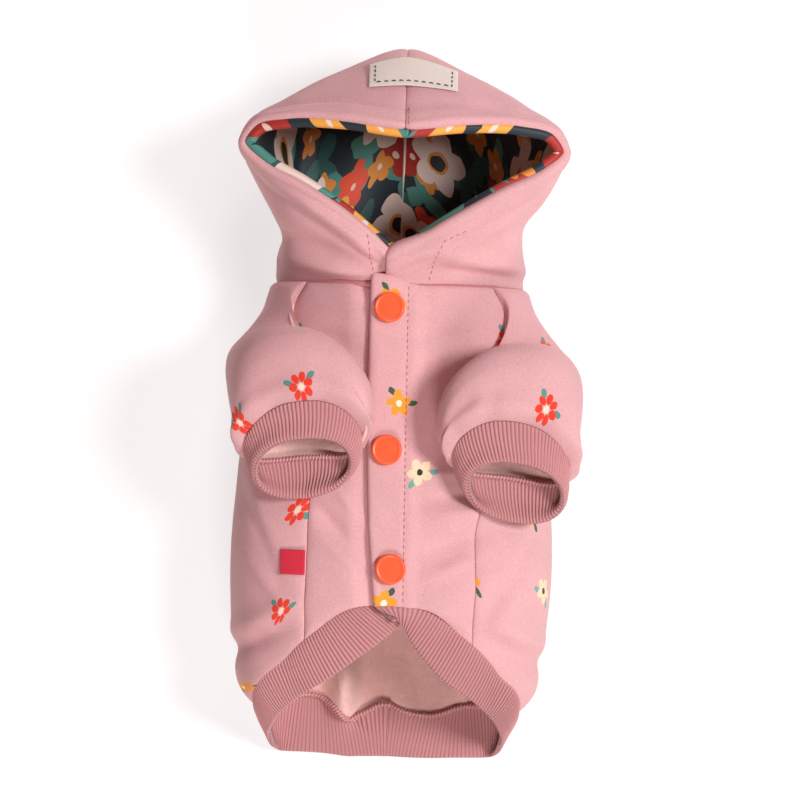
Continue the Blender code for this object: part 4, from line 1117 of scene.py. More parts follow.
# %% [markdown]
# ## Creases of a worn garment
#
# Worn and washed knit never lies smooth: creases cross the places that bend, and it pulls at its
# seams. A table of ridges and dents is laid on the surface, with two sizes of noise.

# %% Creases of the body
# Place in mm from the middle line and from the underarm level,
# positive to the right and towards the hood; direction of the run in degrees; half length and half
# width in mm; height in mm, negative for a dent.
CREASES = np.array([
    # x,   y,  run, length, width, height
    (34, -20, 8.0, 16, 3.0, 1.7),
    (36, -29, 12.0, 17, 2.8, -1.6),
    (36, -38, 6.0, 16, 3.2, 1.7),
    (31, -50, 18.0, 16, 3.4, -1.6),
    (28, -62, 24.0, 14, 3.6, 1.4),
    (24, -8, 62.0, 11, 3.0, -1.4),
    (-26, -22, -52.0, 15, 3.2, -1.7),
    (-21, -33, -56.0, 16, 3.0, 1.4),
    (-28, -44, -48.0, 14, 3.4, -1.6),
    (-22, -58, -40.0, 12, 3.4, 1.3),
    (-24, 10, 80.0, 12, 3.2, -1.3),
    (-62, -30, -75.0, 20, 3.2, 1.2),
    (-58, -52, -66.0, 16, 3.0, -1.2),
    (-55, -72, -48.0, 14, 3.0, 1.2),
    (63, -30, 80.0, 20, 3.4, 1.2),
    (58, -60, 66.0, 16, 3.0, -1.2),
    (54, -78, 46.0, 14, 3.0, 1.2),
    (12, 22, 96.0, 10, 2.4, -0.6),
    (-60, -99, 26.0, 18, 4.4, -2.8),
    (-57, -89, 30.0, 18, 5.0, 2.2),
    (57, -101, -22.0, 16, 4.4, -2.8),
    (55, -91, -26.0, 17, 5.0, 2.0),
    (46, -78, 70.0, 14, 3.6, -1.4),
    (20, -84, 8.0, 16, 5.0, 1.3),
    (-24, -82, -8.0, 14, 5.0, 1.2),
    (28, 30, 40.0, 14, 4.0, 1.3),
    (20, 40, 2.0, 16, 3.6, -1.2),
    (-26, 34, -30.0, 12, 4.0, -1.2),
    (-22, 42, 4.0, 12, 3.4, 1.0),
])


def heap(points, table, level):
    """Ridges and dents of a table in mm from the middle line and a level y."""
    return MM * ridges(points[..., 0] / MM, (points[..., 1] - level) / MM, table)


def relief(points):
    """Height of the fine shape of soft cloth: two sizes of noise and the table of creases."""
    height = 0.30 * MM * noise(points, 21 * MM) + 0.12 * MM * noise(points, 8 * MM)
    upper = smooth_step((points[..., 2] - 0.25 * CHEST_HEIGHT) / (0.15 * CHEST_HEIGHT))
    return height + upper * heap(points, CREASES, NECK_Y - ARMHOLE_DEPTH)


print("creases of the body:", len(CREASES))

# %% [markdown]
# The hem seam isn't straight where it lies on the floor, and the back has slipped up a little into
# soft rucks that can be seen through the mouth. The panel and the rib pass through one function of
# a point, so they move alike.

# %% Wander and rucks of the hem seam
# Place across and step along the garment, in mm.
SEAM_WANDER = np.array([
    (-62, 0.0), (-50, 3.0), (-38, 6.0), (-30, 5.0), (-24, 1.0), (-18, -5.0), (-10, -1.0), (-2, 3.5),
    (8, 0.0), (22, -1.5), (34, 2.5), (46, 3.0), (60, 0.0),
])

# As the body's creases, but from the level of the back's hem seam.
BACK_RUCKS = np.array([
    # x,   y,  run, length, width, height
    (-20, 11, 80.0, 14, 5.0, 13.0),
    (-34, 14, 40.0, 14, 4.5, 9.0),
    (4, 6, 120.0, 16, 8.0, 2.6),
    (30, 5, 60.0, 18, 9.0, 2.2),
])


def rucked(points):
    """Moves points on the floor near the hem seam along with its wander, and up over its rucks."""
    seam = NECK_Y - BACK_LENGTH
    x, y, z = points[..., 0], points[..., 1], points[..., 2]
    near = 1 - smooth_step((z - 8 * MM) / (14 * MM))
    step = through(np.clip(x / MM, -62, 60), SEAM_WANDER, 1) * MM
    moved = points.copy()
    moved[..., 1] = y + near * step * hump(y - seam, 16 * MM)
    moved[..., 2] = z + near * np.maximum(heap(points, BACK_RUCKS, seam), 0.0)
    return moved


print("rucks of the back:", len(BACK_RUCKS))

# %% [markdown]
# ## The two fronts
#
# The fronts lap under the snaps. The right one ends in a turned edge, which doubles it, and the left
# one dips to pass below it. At the neck the stiff edge is free: its corner stands up and laps over
# the hood. A row of stitches holds the edge.

# %% Lap of the fronts
# The turned edge's corner at the neck stands higher than the seam and laps over the hood.
CORNER_RISE = 4.6 * MM
CORNER_LIFT = 2.3 * MM
CORNER_WIDTH = 16.0 * MM
CORNER_DROP = 13.0 * MM
# The stitch line beside the turned edge, from the neck to the hem: x and y in mm.
PLACKET_STITCH = np.array([(3.9, 51.0), (5.0, -35.0), (5.9, -89.5)]) * MM


def edge_x(y):
    """The upper front's free edge: left of the middle, leaning towards it at the hem."""
    at = np.clip((NECK_Y - y) / BELLY_LENGTH, 0.0, 1.0)
    return -(EDGE_X - EDGE_LEAN * at**3)


def upper_lift(x, y):
    """How far the upper front rides above the torso at x."""
    return UPPER_LIFT * (1 - smooth_step((x - UNDERLAP_X) / LAP_STEP))


def lower_lift(x, y):
    """How far the lower front dips below the torso at x, to pass under the upper one."""
    dip = CLOTH + FACING + SEAM_GAP - UPPER_LIFT
    return -dip * smooth_step((x - (edge_x(y) - LAP_MARGIN - LAP_STEP)) / LAP_STEP)


def no_lift(x, y):
    """Nothing is added to the torso's surface."""
    return 0.0 * x


def cloth_wall(x):
    """One layer of knit everywhere."""
    return CLOTH + 0.0 * x


def faced_wall(x):
    """The right front is doubled by its facing from the free edge to the stitch line."""
    return CLOTH + FACING * (1 - smooth_step((x - UNDERLAP_X) / (LAP_STEP / 2)))


def turned_corner(x, y):
    """1 in the corner of the turned edge at the neck, smoothly 0 away from both of its edges."""
    near_edge = 1 - smooth_step((x + EDGE_X / 2) / CORNER_WIDTH)
    return near_edge * (1 - smooth_step((NECK_Y - y) / CORNER_DROP))


print("the lap is", (EDGE_X + UNDERLAP_X) / MM, "mm wide at the neck")

# %% [markdown]
# ## The body's panels
#
# One back panel wraps round from side seam to side seam, and two belly panels meet under the snaps.
# Each is cut flat and sewn to its neighbours, so here each is a grid between two seams. Its rows
# follow the armhole down to the underarm, where their steps shrink because the seams turn sharply
# inwards, and then run to the hem seam.

# %% Back and belly panels
PITCH = 1.7 * MM


def wrap(angle):
    """An angle brought into -180 to 180 degrees."""
    return np.mod(np.asarray(angle, float) + 180.0, 360.0) - 180.0


def panel(name, left, right, lift, thickness, width, sewn, start, pitch=PITCH):
    """A panel of the body between two side curves, from the neck seam to the hem seam."""
    across = edged(width, pitch)[None, :]
    bottom = NECK_Y - BACK_LENGTH + 0 * across
    for _ in range(8):
        bottom = hem_seam_y(wrap(left(bottom) + (right(bottom) - left(bottom)) * across))
    armhole = armhole_y(edged(1.5 * ARMHOLE_DEPTH, 2.2 * MM, last=False))[:, None] + 0 * across
    down = edged(BACK_LENGTH - ARMHOLE_DEPTH, pitch, first=False)[1:, None]
    y = np.concatenate([armhole, armhole[-1] + (bottom + SEAM_GAP / 2 - armhole[-1]) * down])
    angle = left(y) + (right(y) - left(y)) * across
    outer = torso(angle, y)
    normal = normals_of(torso, angle, y)
    raised = lift(outer[..., 0], y) + relief(outer)
    if lift is upper_lift:
        line = np.interp(y, PLACKET_STITCH[::-1, 1], PLACKET_STITCH[::-1, 0])
        raised = raised - 0.45 * MM * hump(outer[..., 0] - line, 1.1 * MM)
    points = outer + normal * raised[..., None]
    if lift is upper_lift:
        corner = turned_corner(outer[..., 0], y)
        points[..., 1] += CORNER_RISE * corner
        points[..., 2] += CORNER_LIFT * corner
    points[..., 2] = np.maximum(points[..., 2], 0.0)
    points = rucked(points)
    wall = thickness(outer[..., 0])
    flat = laid_flat(points, start=start)
    return cloth(name, points, normal, wall, [printed_knit, nap], sewn=sewn, flat=flat)


back_panel = panel(
    "knit_back",
    lambda y: armhole_angle(y, 2) + gap_angle(y),
    lambda y: 360.0 - armhole_angle(y, 2) - gap_angle(y),
    no_lift, cloth_wall, 268 * MM, "tblr", (0, 40),
)
belly_left = panel(
    "knit_belly_left",
    lambda y: -armhole_angle(y, 1) + gap_angle(y),
    lambda y: torso_angle(UNDERLAP_X, y),
    lower_lift, cloth_wall, 56 * MM, "tbl", (210, 12), 1.2 * MM,
)
belly_right = panel(
    "knit_belly_right",
    lambda y: torso_angle(edge_x(y), y),
    lambda y: armhole_angle(y, 1) - gap_angle(y),
    upper_lift, faced_wall, 56 * MM, "tbr", (330, 11), 1.0 * MM,
)
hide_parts("back_panel")
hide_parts("belly_panel_left")
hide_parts("belly_panel_right")
for piece in (back_panel, belly_left, belly_right):
    print(piece.name, made_triangles[piece.name], "triangles")

# %% [markdown]
# ## The hem band
#
# One strip of rib goes round the hem. It starts on the lap at the middle of the belly, runs round
# the back and ends below its own beginning. Its columns stand at equal lengths along the middle of
# the strip, so that every rib has the same width, and each rib is seven columns wide.

# %% Hem band
RIB_HEIGHT = 0.34 * MM
RIB_COLUMNS = 7
APEX_SHIFT = 5.5 * MM
seam_lines = {}
HEM_BULGE = 0.8 * MM


def hem_surface(turn, share):
    """Outer face of the hem band: turn is the angle along the strip from one end to the other,
    share goes from the seam (0) to the free edge (1)."""
    angle = wrap(turn)
    on_right = turn < 180.0
    reach = np.where(on_right, turn, 360.0 - turn)
    size = np.abs(angle)
    seam_y = hem_seam_y(size) - SEAM_GAP / 2
    top = torso(angle, seam_y)
    normal = normals_of(torso, angle, seam_y)
    lift = np.where(on_right, upper_lift(top[..., 0], seam_y), lower_lift(top[..., 0], seam_y))
    top = top + normal * lift[..., None]
    side = np.where(on_right, 1.0, -1.0)
    across = side * through(reach, HEM_MOUTH, 1) * HEM_MOUTH_WIDTH / 2
    width = through(reach, HEM_MOUTH, 3)
    height = through(size, HEM_MOUTH, 2) * HEM_MOUTH_HEIGHT
    near_end = np.clip(width / through(size, HEM_MOUTH, 3), 0.0, 1.0)
    height = top[..., 2] + (height - top[..., 2]) * near_end
    under = np.where(on_right, 0.0, (RIB + HEM_LAP_CLEAR) * (1 - smooth_step(reach / 35.0)))
    across = across + APEX_SHIFT * (1 - smooth_step(reach / 26.0))
    mouth = np.stack([across, seam_y - width * HEM_BAND_WIDTH, height - under], axis=-1)
    return top * (1 - share[..., None]) + mouth * share[..., None]


def evenly(curve, parameter, count):
    """Values of the parameter at count + 1 places that stand at equal lengths along a curve."""
    length = run(curve, 0)
    return np.interp(np.linspace(0, length[-1], count + 1), length, parameter)


def ribs(count, per_rib):
    """Heights of a row of ribs: round ridges with narrow valleys, a power of a sine."""
    wave = np.abs(np.sin(math.pi * np.arange(count * per_rib + 1) / per_rib))
    return RIB_HEIGHT * (2 * wave**0.7 - 1)


def rib_flat(points, per_rib, around=False):
    """Places on flat rib knit, where every rib is RIB_PITCH wide."""
    flat = laid_flat(points, around)
    flat[..., 0] = np.arange(flat.shape[1]) * RIB_PITCH / per_rib
    return flat


def make_hem_band():
    """The band's surface on a grid with ribs, a bulge and a little noise added along its normals,
    each part of it moved along with the hem seam where that wanders."""
    hem_y = NECK_Y - BELLY_LENGTH
    first, last = torso_angle(edge_x(hem_y), hem_y), 360.0 + torso_angle(UNDERLAP_X, hem_y)
    guess = np.linspace(first, last, 1500)
    middle = hem_surface(guess, 0.5 + 0 * guess)
    count = int(round(run(middle, 0)[-1] / (RIB_PITCH * MM)))
    turn = evenly(middle, guess, count * RIB_COLUMNS)[None, :]
    share = edged(HEM_BAND_WIDTH, 1.8 * MM)[:, None]
    outer = hem_surface(turn, share + 0 * turn)
    normal = grid_normals(outer, 6)
    normal *= np.sign(normal[len(normal) // 2, :, 2].mean())
    bulge = HEM_BULGE * np.sin(math.pi * share)
    height = ribs(count, RIB_COLUMNS)[None, :] + bulge + 0.25 * MM * noise(outer, 15 * MM)
    points = outer + normal * height[..., None]
    points[..., 2] = np.maximum(points[..., 2], 0.0)
    points = rucked(points)
    flat = rib_flat(points, RIB_COLUMNS)
    band = cloth("rib_hem", points, normal, RIB, [ribbed], sewn="t", flat=flat)
    inside = np.abs(wrap(turn[0])) > 72.0
    path = (points[0] - normal[0] * (RIB + 0.6 * MM))[inside][::RIB_COLUMNS]
    seam_lines["hem"] = path, -normal[0][inside][::RIB_COLUMNS]
    print("ribs round the hem:", count, "triangles:", made_triangles["rib_hem"])
    return band


hem_band = make_hem_band()
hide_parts("hem_band")

# %% [markdown]
# ## Sleeves and cuffs
#
# The rings of a sleeve are worked out at many turns. The wall goes inwards half way between each
# ring's middle and the surface's own normal, so that it doesn't cross itself in a fold. Just above
# the cuff the wide sleeve is drawn in to the narrow rib, which throws it into gathers: waves round
# the ring that grow towards the seam.

# %% Sleeves
GATHERS = 9
GATHER_HEIGHT = 0.5 * MM


def inwards(grid, side):
    """Unit directions into a tube of rings: half way between each ring's middle and the grid's
    own normals, smoothed over their neighbours so that the wall doesn't cross itself in a fold."""
    normal = side * np.cross(
        np.gradient(grid, axis=0), np.roll(grid, -1, axis=1) - np.roll(grid, 1, axis=1)
    )
    for _ in range(12):
        normal = unit(normal)
        normal[1:-1] = normal[:-2] + 2 * normal[1:-1] + normal[2:]
        normal = np.roll(normal, 1, axis=1) + 2 * normal + np.roll(normal, -1, axis=1)
    return unit(unit(normal) + unit(grid.mean(axis=1, keepdims=True) - grid))


def out_of_body(points):
    """Unit directions out of the body, the gradient of its section's superellipse."""
    x, z, _, half, reach, power = in_section(points)
    across = np.sign(x) * (np.abs(x) / half) ** (power - 1) / half
    up = np.sign(z) * (np.abs(z) / reach) ** (power - 1) / reach
    return unit(np.stack([across, 0 * across, up], axis=-1))


def settled(points, turn, along):
    """The sleeve's cloth where it folds over the front seam, evened out between its neighbours
    again and again, and kept clear of the body."""
    near = hump(np.mod(turn, 360.0) - FRONT_CORNER - 30.0, 55.0)
    near = near * smooth_step((along - 0.01) / 0.06) * (1 - smooth_step((along - 0.3) / 0.2))
    for _ in range(60):
        mean = np.roll(points, 1, axis=1) + np.roll(points, -1, axis=1)
        mean[1:-1] += points[:-2] + points[2:]
        mean[1:-1] /= 2
        points = points + (0.5 * near)[..., None] * (mean / 2 - points)
    return clear_of_torso(points, (ROOT_CLEAR + 1.6 * MM * smooth_step(along / 0.06))[..., 0:1])


def make_sleeve(side, label):
    """The puffed sleeve down to the cuff's seam."""
    turn = np.concatenate([
        np.linspace(UNDERARM - 360.0, BACK_CORNER, 67)[:-1],
        np.linspace(BACK_CORNER, FRONT_CORNER, 13)[:-1],
        np.linspace(FRONT_CORNER, UNDERARM, 73)[:-1],
    ])[None, :]
    along = (edged(SLEEVE_REACH, 1.2 * MM) * (CUFF_START - CUFF_GAP))[:, None]
    outer = settled(sleeve(turn, along, side), turn, along)
    into = inwards(outer, side)
    free = smooth_step((along - 0.02) / 0.13)[..., None]
    into = unit(into * free - out_of_body(outer) * (1 - free))
    wave = np.radians(turn) * GATHERS + 2.2 * noise(outer, 16 * MM)
    gather = GATHER_HEIGHT * np.sin(wave) * smooth_step((along - 0.72) / 0.22)
    swell = 0.45 * MM * noise(outer, 19 * MM) + 0.15 * MM * noise(outer, 8 * MM)
    swell = swell * smooth_step(along / 0.2)
    points = outer - into * (gather + swell)[..., None]
    points[..., 2] = np.maximum(points[..., 2], 0.0)
    closed = np.concatenate([points, points[:, :1]], axis=1)
    size = np.array([run(closed, 1)[:, -1].mean(), run(closed, 0)[-1].mean()]) / MM
    share = np.stack(np.broadcast_arrays(np.append(turn, UNDERARM)[None, :] / 360.0, -along), -1)
    flat = relaxed(closed, share * size) + (400 + side * 95, 90)
    piece = cloth(
        f"knit_sleeve_{label}", points, -into, CLOTH, [printed_knit, nap],
        around=True, flat=flat, sink=1.3,
    )
    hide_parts(f"sleeve_{label}")
    return piece


print("gathers round a sleeve:", GATHERS)

# %% [markdown]
# The cuff is a tube of rib knit, narrower than the sleeve. Its free edge is a fold, so the wall
# grows thicker towards it.

# %% Cuffs
CUFF_RIB_COLUMNS = 8
CUFF_LENGTH = 21.0 * MM


def make_cuff(side, label):
    """The ribbed cuff, whose ribs stand up outside and inside."""
    guess = np.linspace(0, 360, 721)
    count = int(round(run(sleeve(guess, 1.15, side), 0)[-1] / (RIB_PITCH * MM)))
    turn = evenly(sleeve(guess, 1.15, side), guess, count * CUFF_RIB_COLUMNS)[None, :-1]
    share = edged(CUFF_LENGTH, 1.3 * MM)[:, None]
    along = CUFF_START + CUFF_GAP + (CUFF_END - CUFF_START - CUFF_GAP) * share
    outer = sleeve(turn, along, side)
    into = inwards(outer, side)
    height = ribs(count, CUFF_RIB_COLUMNS)[None, :-1] + 0.5 * MM * np.sin(math.pi * share)
    height = height + 0.3 * MM * noise(outer, 13 * MM)
    points = outer - into * height[..., None]
    wall = RIB + 0.9 * MM * smooth_step((share - 0.5) / 0.4) + 0 * turn
    ring = (points[0] + into[0] * (RIB + 0.7 * MM))[::CUFF_RIB_COLUMNS]
    ring_in = into[0][::CUFF_RIB_COLUMNS]
    seam_lines[f"cuff_{label}"] = np.append(ring, ring[:1], 0), np.append(ring_in, ring_in[:1], 0)
    flat = rib_flat(points, CUFF_RIB_COLUMNS, True)
    piece = cloth(f"rib_cuff_{label}", points, -into, wall, [ribbed], around=True, sewn="t", flat=flat)
    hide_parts(f"cuff_{label}")
    return piece


for side, label in ((-1.0, "left"), (1.0, "right")):
    made = make_sleeve(side, label), make_cuff(side, label)
    print([(piece.name, made_triangles[piece.name]) for piece in made])

# %% [markdown]
# ## Hood and lining
#
# Each half of the hood is a grid of columns that stand at equal lengths round the rim, and of rows
# at equal lengths down each meridian. The two halves meet in a seam on the middle plane, where both
# have level normals so that the seam stands upright.

# %% Columns, rows and normals of the hood
def hood_normals(round_, down):
    """The hood's normals, level with the middle plane at the brow's and the throat's seam."""
    normal = normals_of(hood, round_, down, step=(0.01, 0.01))
    for column in (0, -1):
        normal[:, column, 0] = 0.0
        normal[:, column] = unit(normal[:, column])
    return normal


def hood_columns(side, pitch):
    """Places round the rim from the brow to the throat, at equal lengths of a line behind it."""
    guess = side * np.maximum(np.linspace(0, 1, 600), 1e-6)
    line = run(hood(guess, 0.12), 0)
    wanted = edged(line[-1], pitch) * line[-1]
    return np.interp(wanted, line, guess)


def hood_rows(round_, first, last, pitch):
    """Places down each meridian, from first below the rim to last above the neck seam."""
    probe = np.linspace(0, 1, 161)
    length = run(hood(round_[None, :], probe[:, None]), 0)
    shares = edged(HOOD_LENGTH, pitch)
    wanted = first + (length[-1] - last - first) * shares[:, None]
    down = [np.interp(wanted[:, k], length[:, k], probe) for k in range(len(round_))]
    return np.stack(down, axis=1)


def square_to(direction, normal):
    """Unit directions with the part along the normal taken out."""
    return unit(direction - normal * np.sum(direction * normal, axis=-1, keepdims=True))


print("columns of half of the hood:", len(hood_columns(1.0, PITCH)))

# %% [markdown]
# The rim is turned in and held by stitches, so it is a round roll with a groove behind it, deepest
# over the brow. At the throat the right half laps over the left one.

# %% Outer halves of the hood
RIM_TURN_IN = 3.0 * MM
RIM_STITCH = 9.5 * MM       # from the rim to the groove of the stitches
THROAT_LAP = 4.5 * MM
HOOD_CREASES = np.array([
    # x,   y,  run, length, width, height
    (-40, 15, -20.0, 22, 4.2, -2.2),
    (-26, 24, -32.0, 24, 4.0, 2.6),
    (-30, 6, -10.0, 20, 3.2, 2.7),
    (-22, 1, 2.0, 24, 2.4, -1.3),
    (-10, 12, -50.0, 12, 2.6, -1.7),
    (38, 5, -4.0, 20, 2.6, -2.1),
    (34, 11, -6.0, 22, 3.6, 2.7),
    (50, 24, 32.0, 18, 4.0, -2.0),
    (26, 18, 42.0, 16, 3.0, -1.3),
    (-30, 88, 35.0, 20, 5.0, -1.1),
    (34, 86, -38.0, 20, 5.0, -1.1),
])


def hood_relief(points, from_rim, round_):
    """Height of the hood's cloth: two sizes of noise, the groove at the rim's stitches, the swell
    before it, and the table of creases from the rim on."""
    height = 0.35 * MM * noise(points, 20 * MM) + 0.12 * MM * noise(points, 8 * MM)
    brow = 1 - smooth_step((np.abs(round_) - 0.42) / 0.1)
    height = height - (0.7 + 1.4 * brow) * MM * hump(from_rim - RIM_STITCH, 2.3 * MM)
    height = height + (0.3 + 0.6 * brow) * MM * hump(from_rim - RIM_STITCH / 2, 3.0 * MM)
    return height + smooth_step(from_rim / (4 * MM)) * heap(points, HOOD_CREASES, NECK_Y)


def make_hood(side, label):
    """Outer half of the hood. Its rim is half a circle round a centre below it, and a short flat
    tail runs back inside from there."""
    round_ = hood_columns(side, PITCH)
    down = hood_rows(round_, 0.0, 0.0, PITCH)
    outer = hood(round_[None, :], down)
    normal = hood_normals(round_[None, :] + 0 * down, down)
    rim, rim_normal = outer[0], normal[0]
    ahead = square_to(rim - outer[4], rim_normal)
    a = np.radians(np.linspace(180.0, 0.0, 15)[:-1])[:, None, None]
    bend = np.sin(a) * ahead + np.cos(a) * rim_normal
    roll = rim - RIM_ROLL * rim_normal + RIM_ROLL * bend
    tail = roll[:1] - ahead * (RIM_TURN_IN * np.array([1.0, 0.9, 0.6, 0.3]))[:, None, None]
    points = np.concatenate([tail, roll, outer])
    way = np.concatenate([np.repeat(bend[:1], 4, 0), bend, normal])
    from_rim = run(points, 0)
    from_rim = from_rim - from_rim[len(tail) + len(roll)]
    throat = smooth_step((np.abs(round_) - 0.86) / 0.14)
    height = hood_relief(points, from_rim, round_) + (1.9 if side > 0 else -1.2) * MM * throat
    points = points + way * height[..., None]
    points[..., 0] += side * SEAM_GAP / 2 - (THROAT_LAP * throat if side > 0 else 0.0)
    points[:, 0, 0] = side * SEAM_GAP / 2
    points[..., 2] = np.maximum(points[..., 2], 0.0)
    piece = cloth(
        f"knit_hood_{label}", points, way, CLOTH, [plain_knit, nap], sewn="blr",
        flat=laid_flat(points, start=(side * 70 + 600, 0)),
    )
    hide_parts(f"hood_{label}")
    return piece


print("creases of the hood:", len(HOOD_CREASES))

# %% [markdown]
# The lining is cut like the hood and hangs a little inside it, from a turned strip below the pink
# rim down to the neck seam. It is a little too wide, as linings are, so it hangs in soft folds.

# %% Lining
LINING_EASE = 2.2 * MM
LINING_FROM_RIM = 4.5 * MM
LINING_FROM_NECK = 1.5 * MM
STRIP_DEPTH = 5.8 * MM
STRIP_AHEAD = 1.3 * MM
STRIP_RADIUS = 1.2 * MM


def lining_folds(points, from_rim):
    """Soft folds that hang from the brow: waves across, fading towards the rim."""
    wave = np.sin(points[..., 0] / (6.5 * MM) + 1.4 * noise(points, 30 * MM))
    return 1.1 * MM * wave * smooth_step(from_rim / (20 * MM)) * smooth_step(points[..., 1] / (90 * MM))


def make_lining(side, label):
    """Lining half inside the hood. It starts with a fold that hangs out below the pink rim, and
    its face towards the opening is the one that shows."""
    round_ = hood_columns(side, 2.0 * MM)
    down = hood_rows(round_, LINING_FROM_RIM + 3 * MM, LINING_FROM_NECK, 2.0 * MM)
    normal = hood_normals(round_[None, :] + 0 * down, down)
    outer = hood(round_[None, :], down)
    height = 0.5 * MM * noise(outer, 22 * MM) + lining_folds(outer, run(outer, 0))
    points = outer - normal * (CLOTH + LINING_EASE + height)[..., None]
    rim = hood(round_[None, :], np.zeros((1, len(round_))))
    up = hood_normals(round_[None, :], np.zeros((1, len(round_))))
    ahead = square_to(rim - outer[8:9], up)
    a = np.radians(np.linspace(15.0, 185.0, 14))[:, None, None]
    round_strip = np.sin(a) * ahead + np.cos(a) * up
    strip = rim - up * STRIP_DEPTH + ahead * STRIP_AHEAD + STRIP_RADIUS * round_strip
    bridge = smooth_step(np.linspace(0, 1, 8)[1:-1])[:, None, None]
    bridge = strip[-1:] * (1 - bridge) + points[:1] * bridge
    points = np.concatenate([strip, bridge, points])
    normal = np.concatenate([-round_strip, np.repeat(normal[:1], len(bridge), 0), normal])
    points[..., 0] += side * SEAM_GAP / 2
    points[:, 0, 0] = side * SEAM_GAP / 2
    piece = cloth(
        f"lining_{label}", points, normal, LINING, [lining], sewn="tblr", sink=0.6,
        flat=laid_flat(points, start=(side * 60 + 300, 200)),
    )
    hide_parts(f"hood_lining_{label}")
    return piece


for side, label in ((-1.0, "left"), (1.0, "right")):
    made = make_hood(side, label), make_lining(side, label)
    print([(piece.name, made_triangles[piece.name]) for piece in made])

# %% [markdown]
# ## Snaps
#
# A snap is a solid of revolution: its half section is turned round an axis that stands on the
# cloth. The cap has a raised ring with a shallow dish inside it.

# %% Snaps
SNAP_DIAMETER = 13.6 * MM
SNAP_HEIGHT = 2.2 * MM
SNAP_POST_DIAMETER = 4.0 * MM
SNAP_BACK_DIAMETER = 9.0 * MM
SNAP_BACK_HEIGHT = 1.2 * MM
# share of BELLY_LENGTH from the neck
SNAP_PLACES = {"top": 0.077, "middle": 0.518, "bottom": 0.884}
SNAP_SET_BACK = 8.6 * MM
SNAP_CLEAR = 0.35 * MM
SNAP_DISH = 0.30 * MM
SNAP_END = 0.02 * MM        # radius of the tiny ring in the middle


def frame_on(surface, first, second):
    """A matrix that stands on a surface, its z axis along the outward normal."""
    point = surface(first, second)
    normal = Vector(normals_of(surface, first, second).reshape(3))
    turn = normal.to_track_quat("Z", "Y").to_matrix().to_4x4()
    return Matrix.Translation(Vector(point.reshape(3))) @ turn


def arc(radius, height, size, first, last, steps=6):
    """Points of a round corner of a profile, angles in degrees from the outward direction."""
    a = np.radians(np.linspace(first, last, steps))
    return np.stack([radius + size * np.cos(a), height + size * np.sin(a)], -1)


def lathe(name, profile, place, material, sides=64):
    """A solid of revolution from rows of (radius, height), closed by a tiny ring at each end."""
    a = np.arange(sides) * FULL_TURN / sides
    radius, height = profile[:, :1], profile[:, 1:]
    ring = np.stack([radius * np.cos(a), radius * np.sin(a), height + 0 * a], -1)
    rows, columns = ring.shape[:2]
    row, column = quads(rows, columns, True)
    cells = row * columns + column % columns
    flat = ring[row, column % columns][..., :2] / MM
    matrix = np.array(place)
    points = ring.reshape(-1, 3) @ matrix[:3, :3].T + matrix[:3, 3]
    return fill_mesh(name, points, cells, flat, np.zeros(len(cells)), [material])


def snap_profile():
    """Cap, post and disc behind, from the middle of the dish round to the middle of the disc."""
    cap, post, disc = SNAP_DIAMETER / 2, SNAP_POST_DIAMETER / 2, SNAP_BACK_DIAMETER / 2
    low = UPPER_LIFT + SNAP_CLEAR
    top = low + SNAP_HEIGHT
    behind = UPPER_LIFT - 2 * CLOTH - FACING - SEAM_GAP - SNAP_CLEAR
    under = behind - SNAP_BACK_HEIGHT
    tiny, dish = SNAP_END, SNAP_DISH
    parts = [
        [(tiny, top - dish * 0.4), (cap * 0.3, top - dish * 0.5), (cap * 0.6, top - dish * 0.8)],
        [(cap * 0.72, top - dish), (cap * 0.78, top - dish * 0.8), (cap * 0.83, top - dish * 0.4)],
        arc(cap - 1.2 * MM, low + 1.0 * MM, 1.2 * MM, 78, -35, 10),
        [(cap - 0.5 * MM, low), (post + 0.2 * MM, low), (post, low - 0.2 * MM)],
        [(post, behind + 0.2 * MM), (post + 0.2 * MM, behind), (disc - 0.4 * MM, behind)],
        arc(disc - 0.5 * MM, (behind + under) / 2, 0.5 * MM, 80, -80, 7),
        [(disc - 0.6 * MM, under), (tiny, under)],
    ]
    return np.concatenate([np.asarray(p, float) for p in parts])


for label, share in SNAP_PLACES.items():
    y = NECK_Y - BELLY_LENGTH * share
    place = frame_on(torso, np.array(torso_angle(edge_x(y) + SNAP_SET_BACK, y)), np.array(y))
    snap = lathe(f"acetal_snap_{label}", snap_profile(), place, acetal)
    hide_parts(f"snap_{label}")
print("triangles of a snap:", made_triangles["acetal_snap_top"])

# %% [markdown]
# ## Patch and tab
#
# The woven patch behind the brow and the tab in the side seam both carry words in the photo. They
# are the maker's, so both stay bare here. The patch keeps the row of dashes round its edge.

# %% Patch and tab
LABEL_WIDTH = 39.0 * MM
LABEL_DEPTH = 20.0 * MM
LABEL_FROM_RIM = 22.5 * MM
LABEL_SHIFT = 3.0 * MM
TAB_LENGTH = 10.5 * MM
TAB_WIDTH = 11.0 * MM
TAB_Y = -73.0 * MM
PATCH_CLEAR = 0.4 * MM
DASHES_INSIDE = 2.1 * MM    # from the patch's edge to its row of dashes
PATCH_STITCH = (2.2 * MM, 3.3 * MM, 0.3 * MM)   # length, step and thickness of a dash


def on_hood(x, from_rim):
    """Parameters of the hood at a place across, and at a length behind the brow's rim."""
    probe = np.linspace(0.0, 0.24, 60)
    length = run(hood(0 * probe + 1e-6, probe), 0)
    down = np.interp(from_rim, length, probe)
    low, high = np.full(np.shape(x), -0.5), np.full(np.shape(x), 0.5)
    for _ in range(30):
        middle = (low + high) / 2
        short = hood(middle, down)[..., 0] < x
        low, high = np.where(short, middle, low), np.where(short, high, middle)
    return (low + high) / 2, down


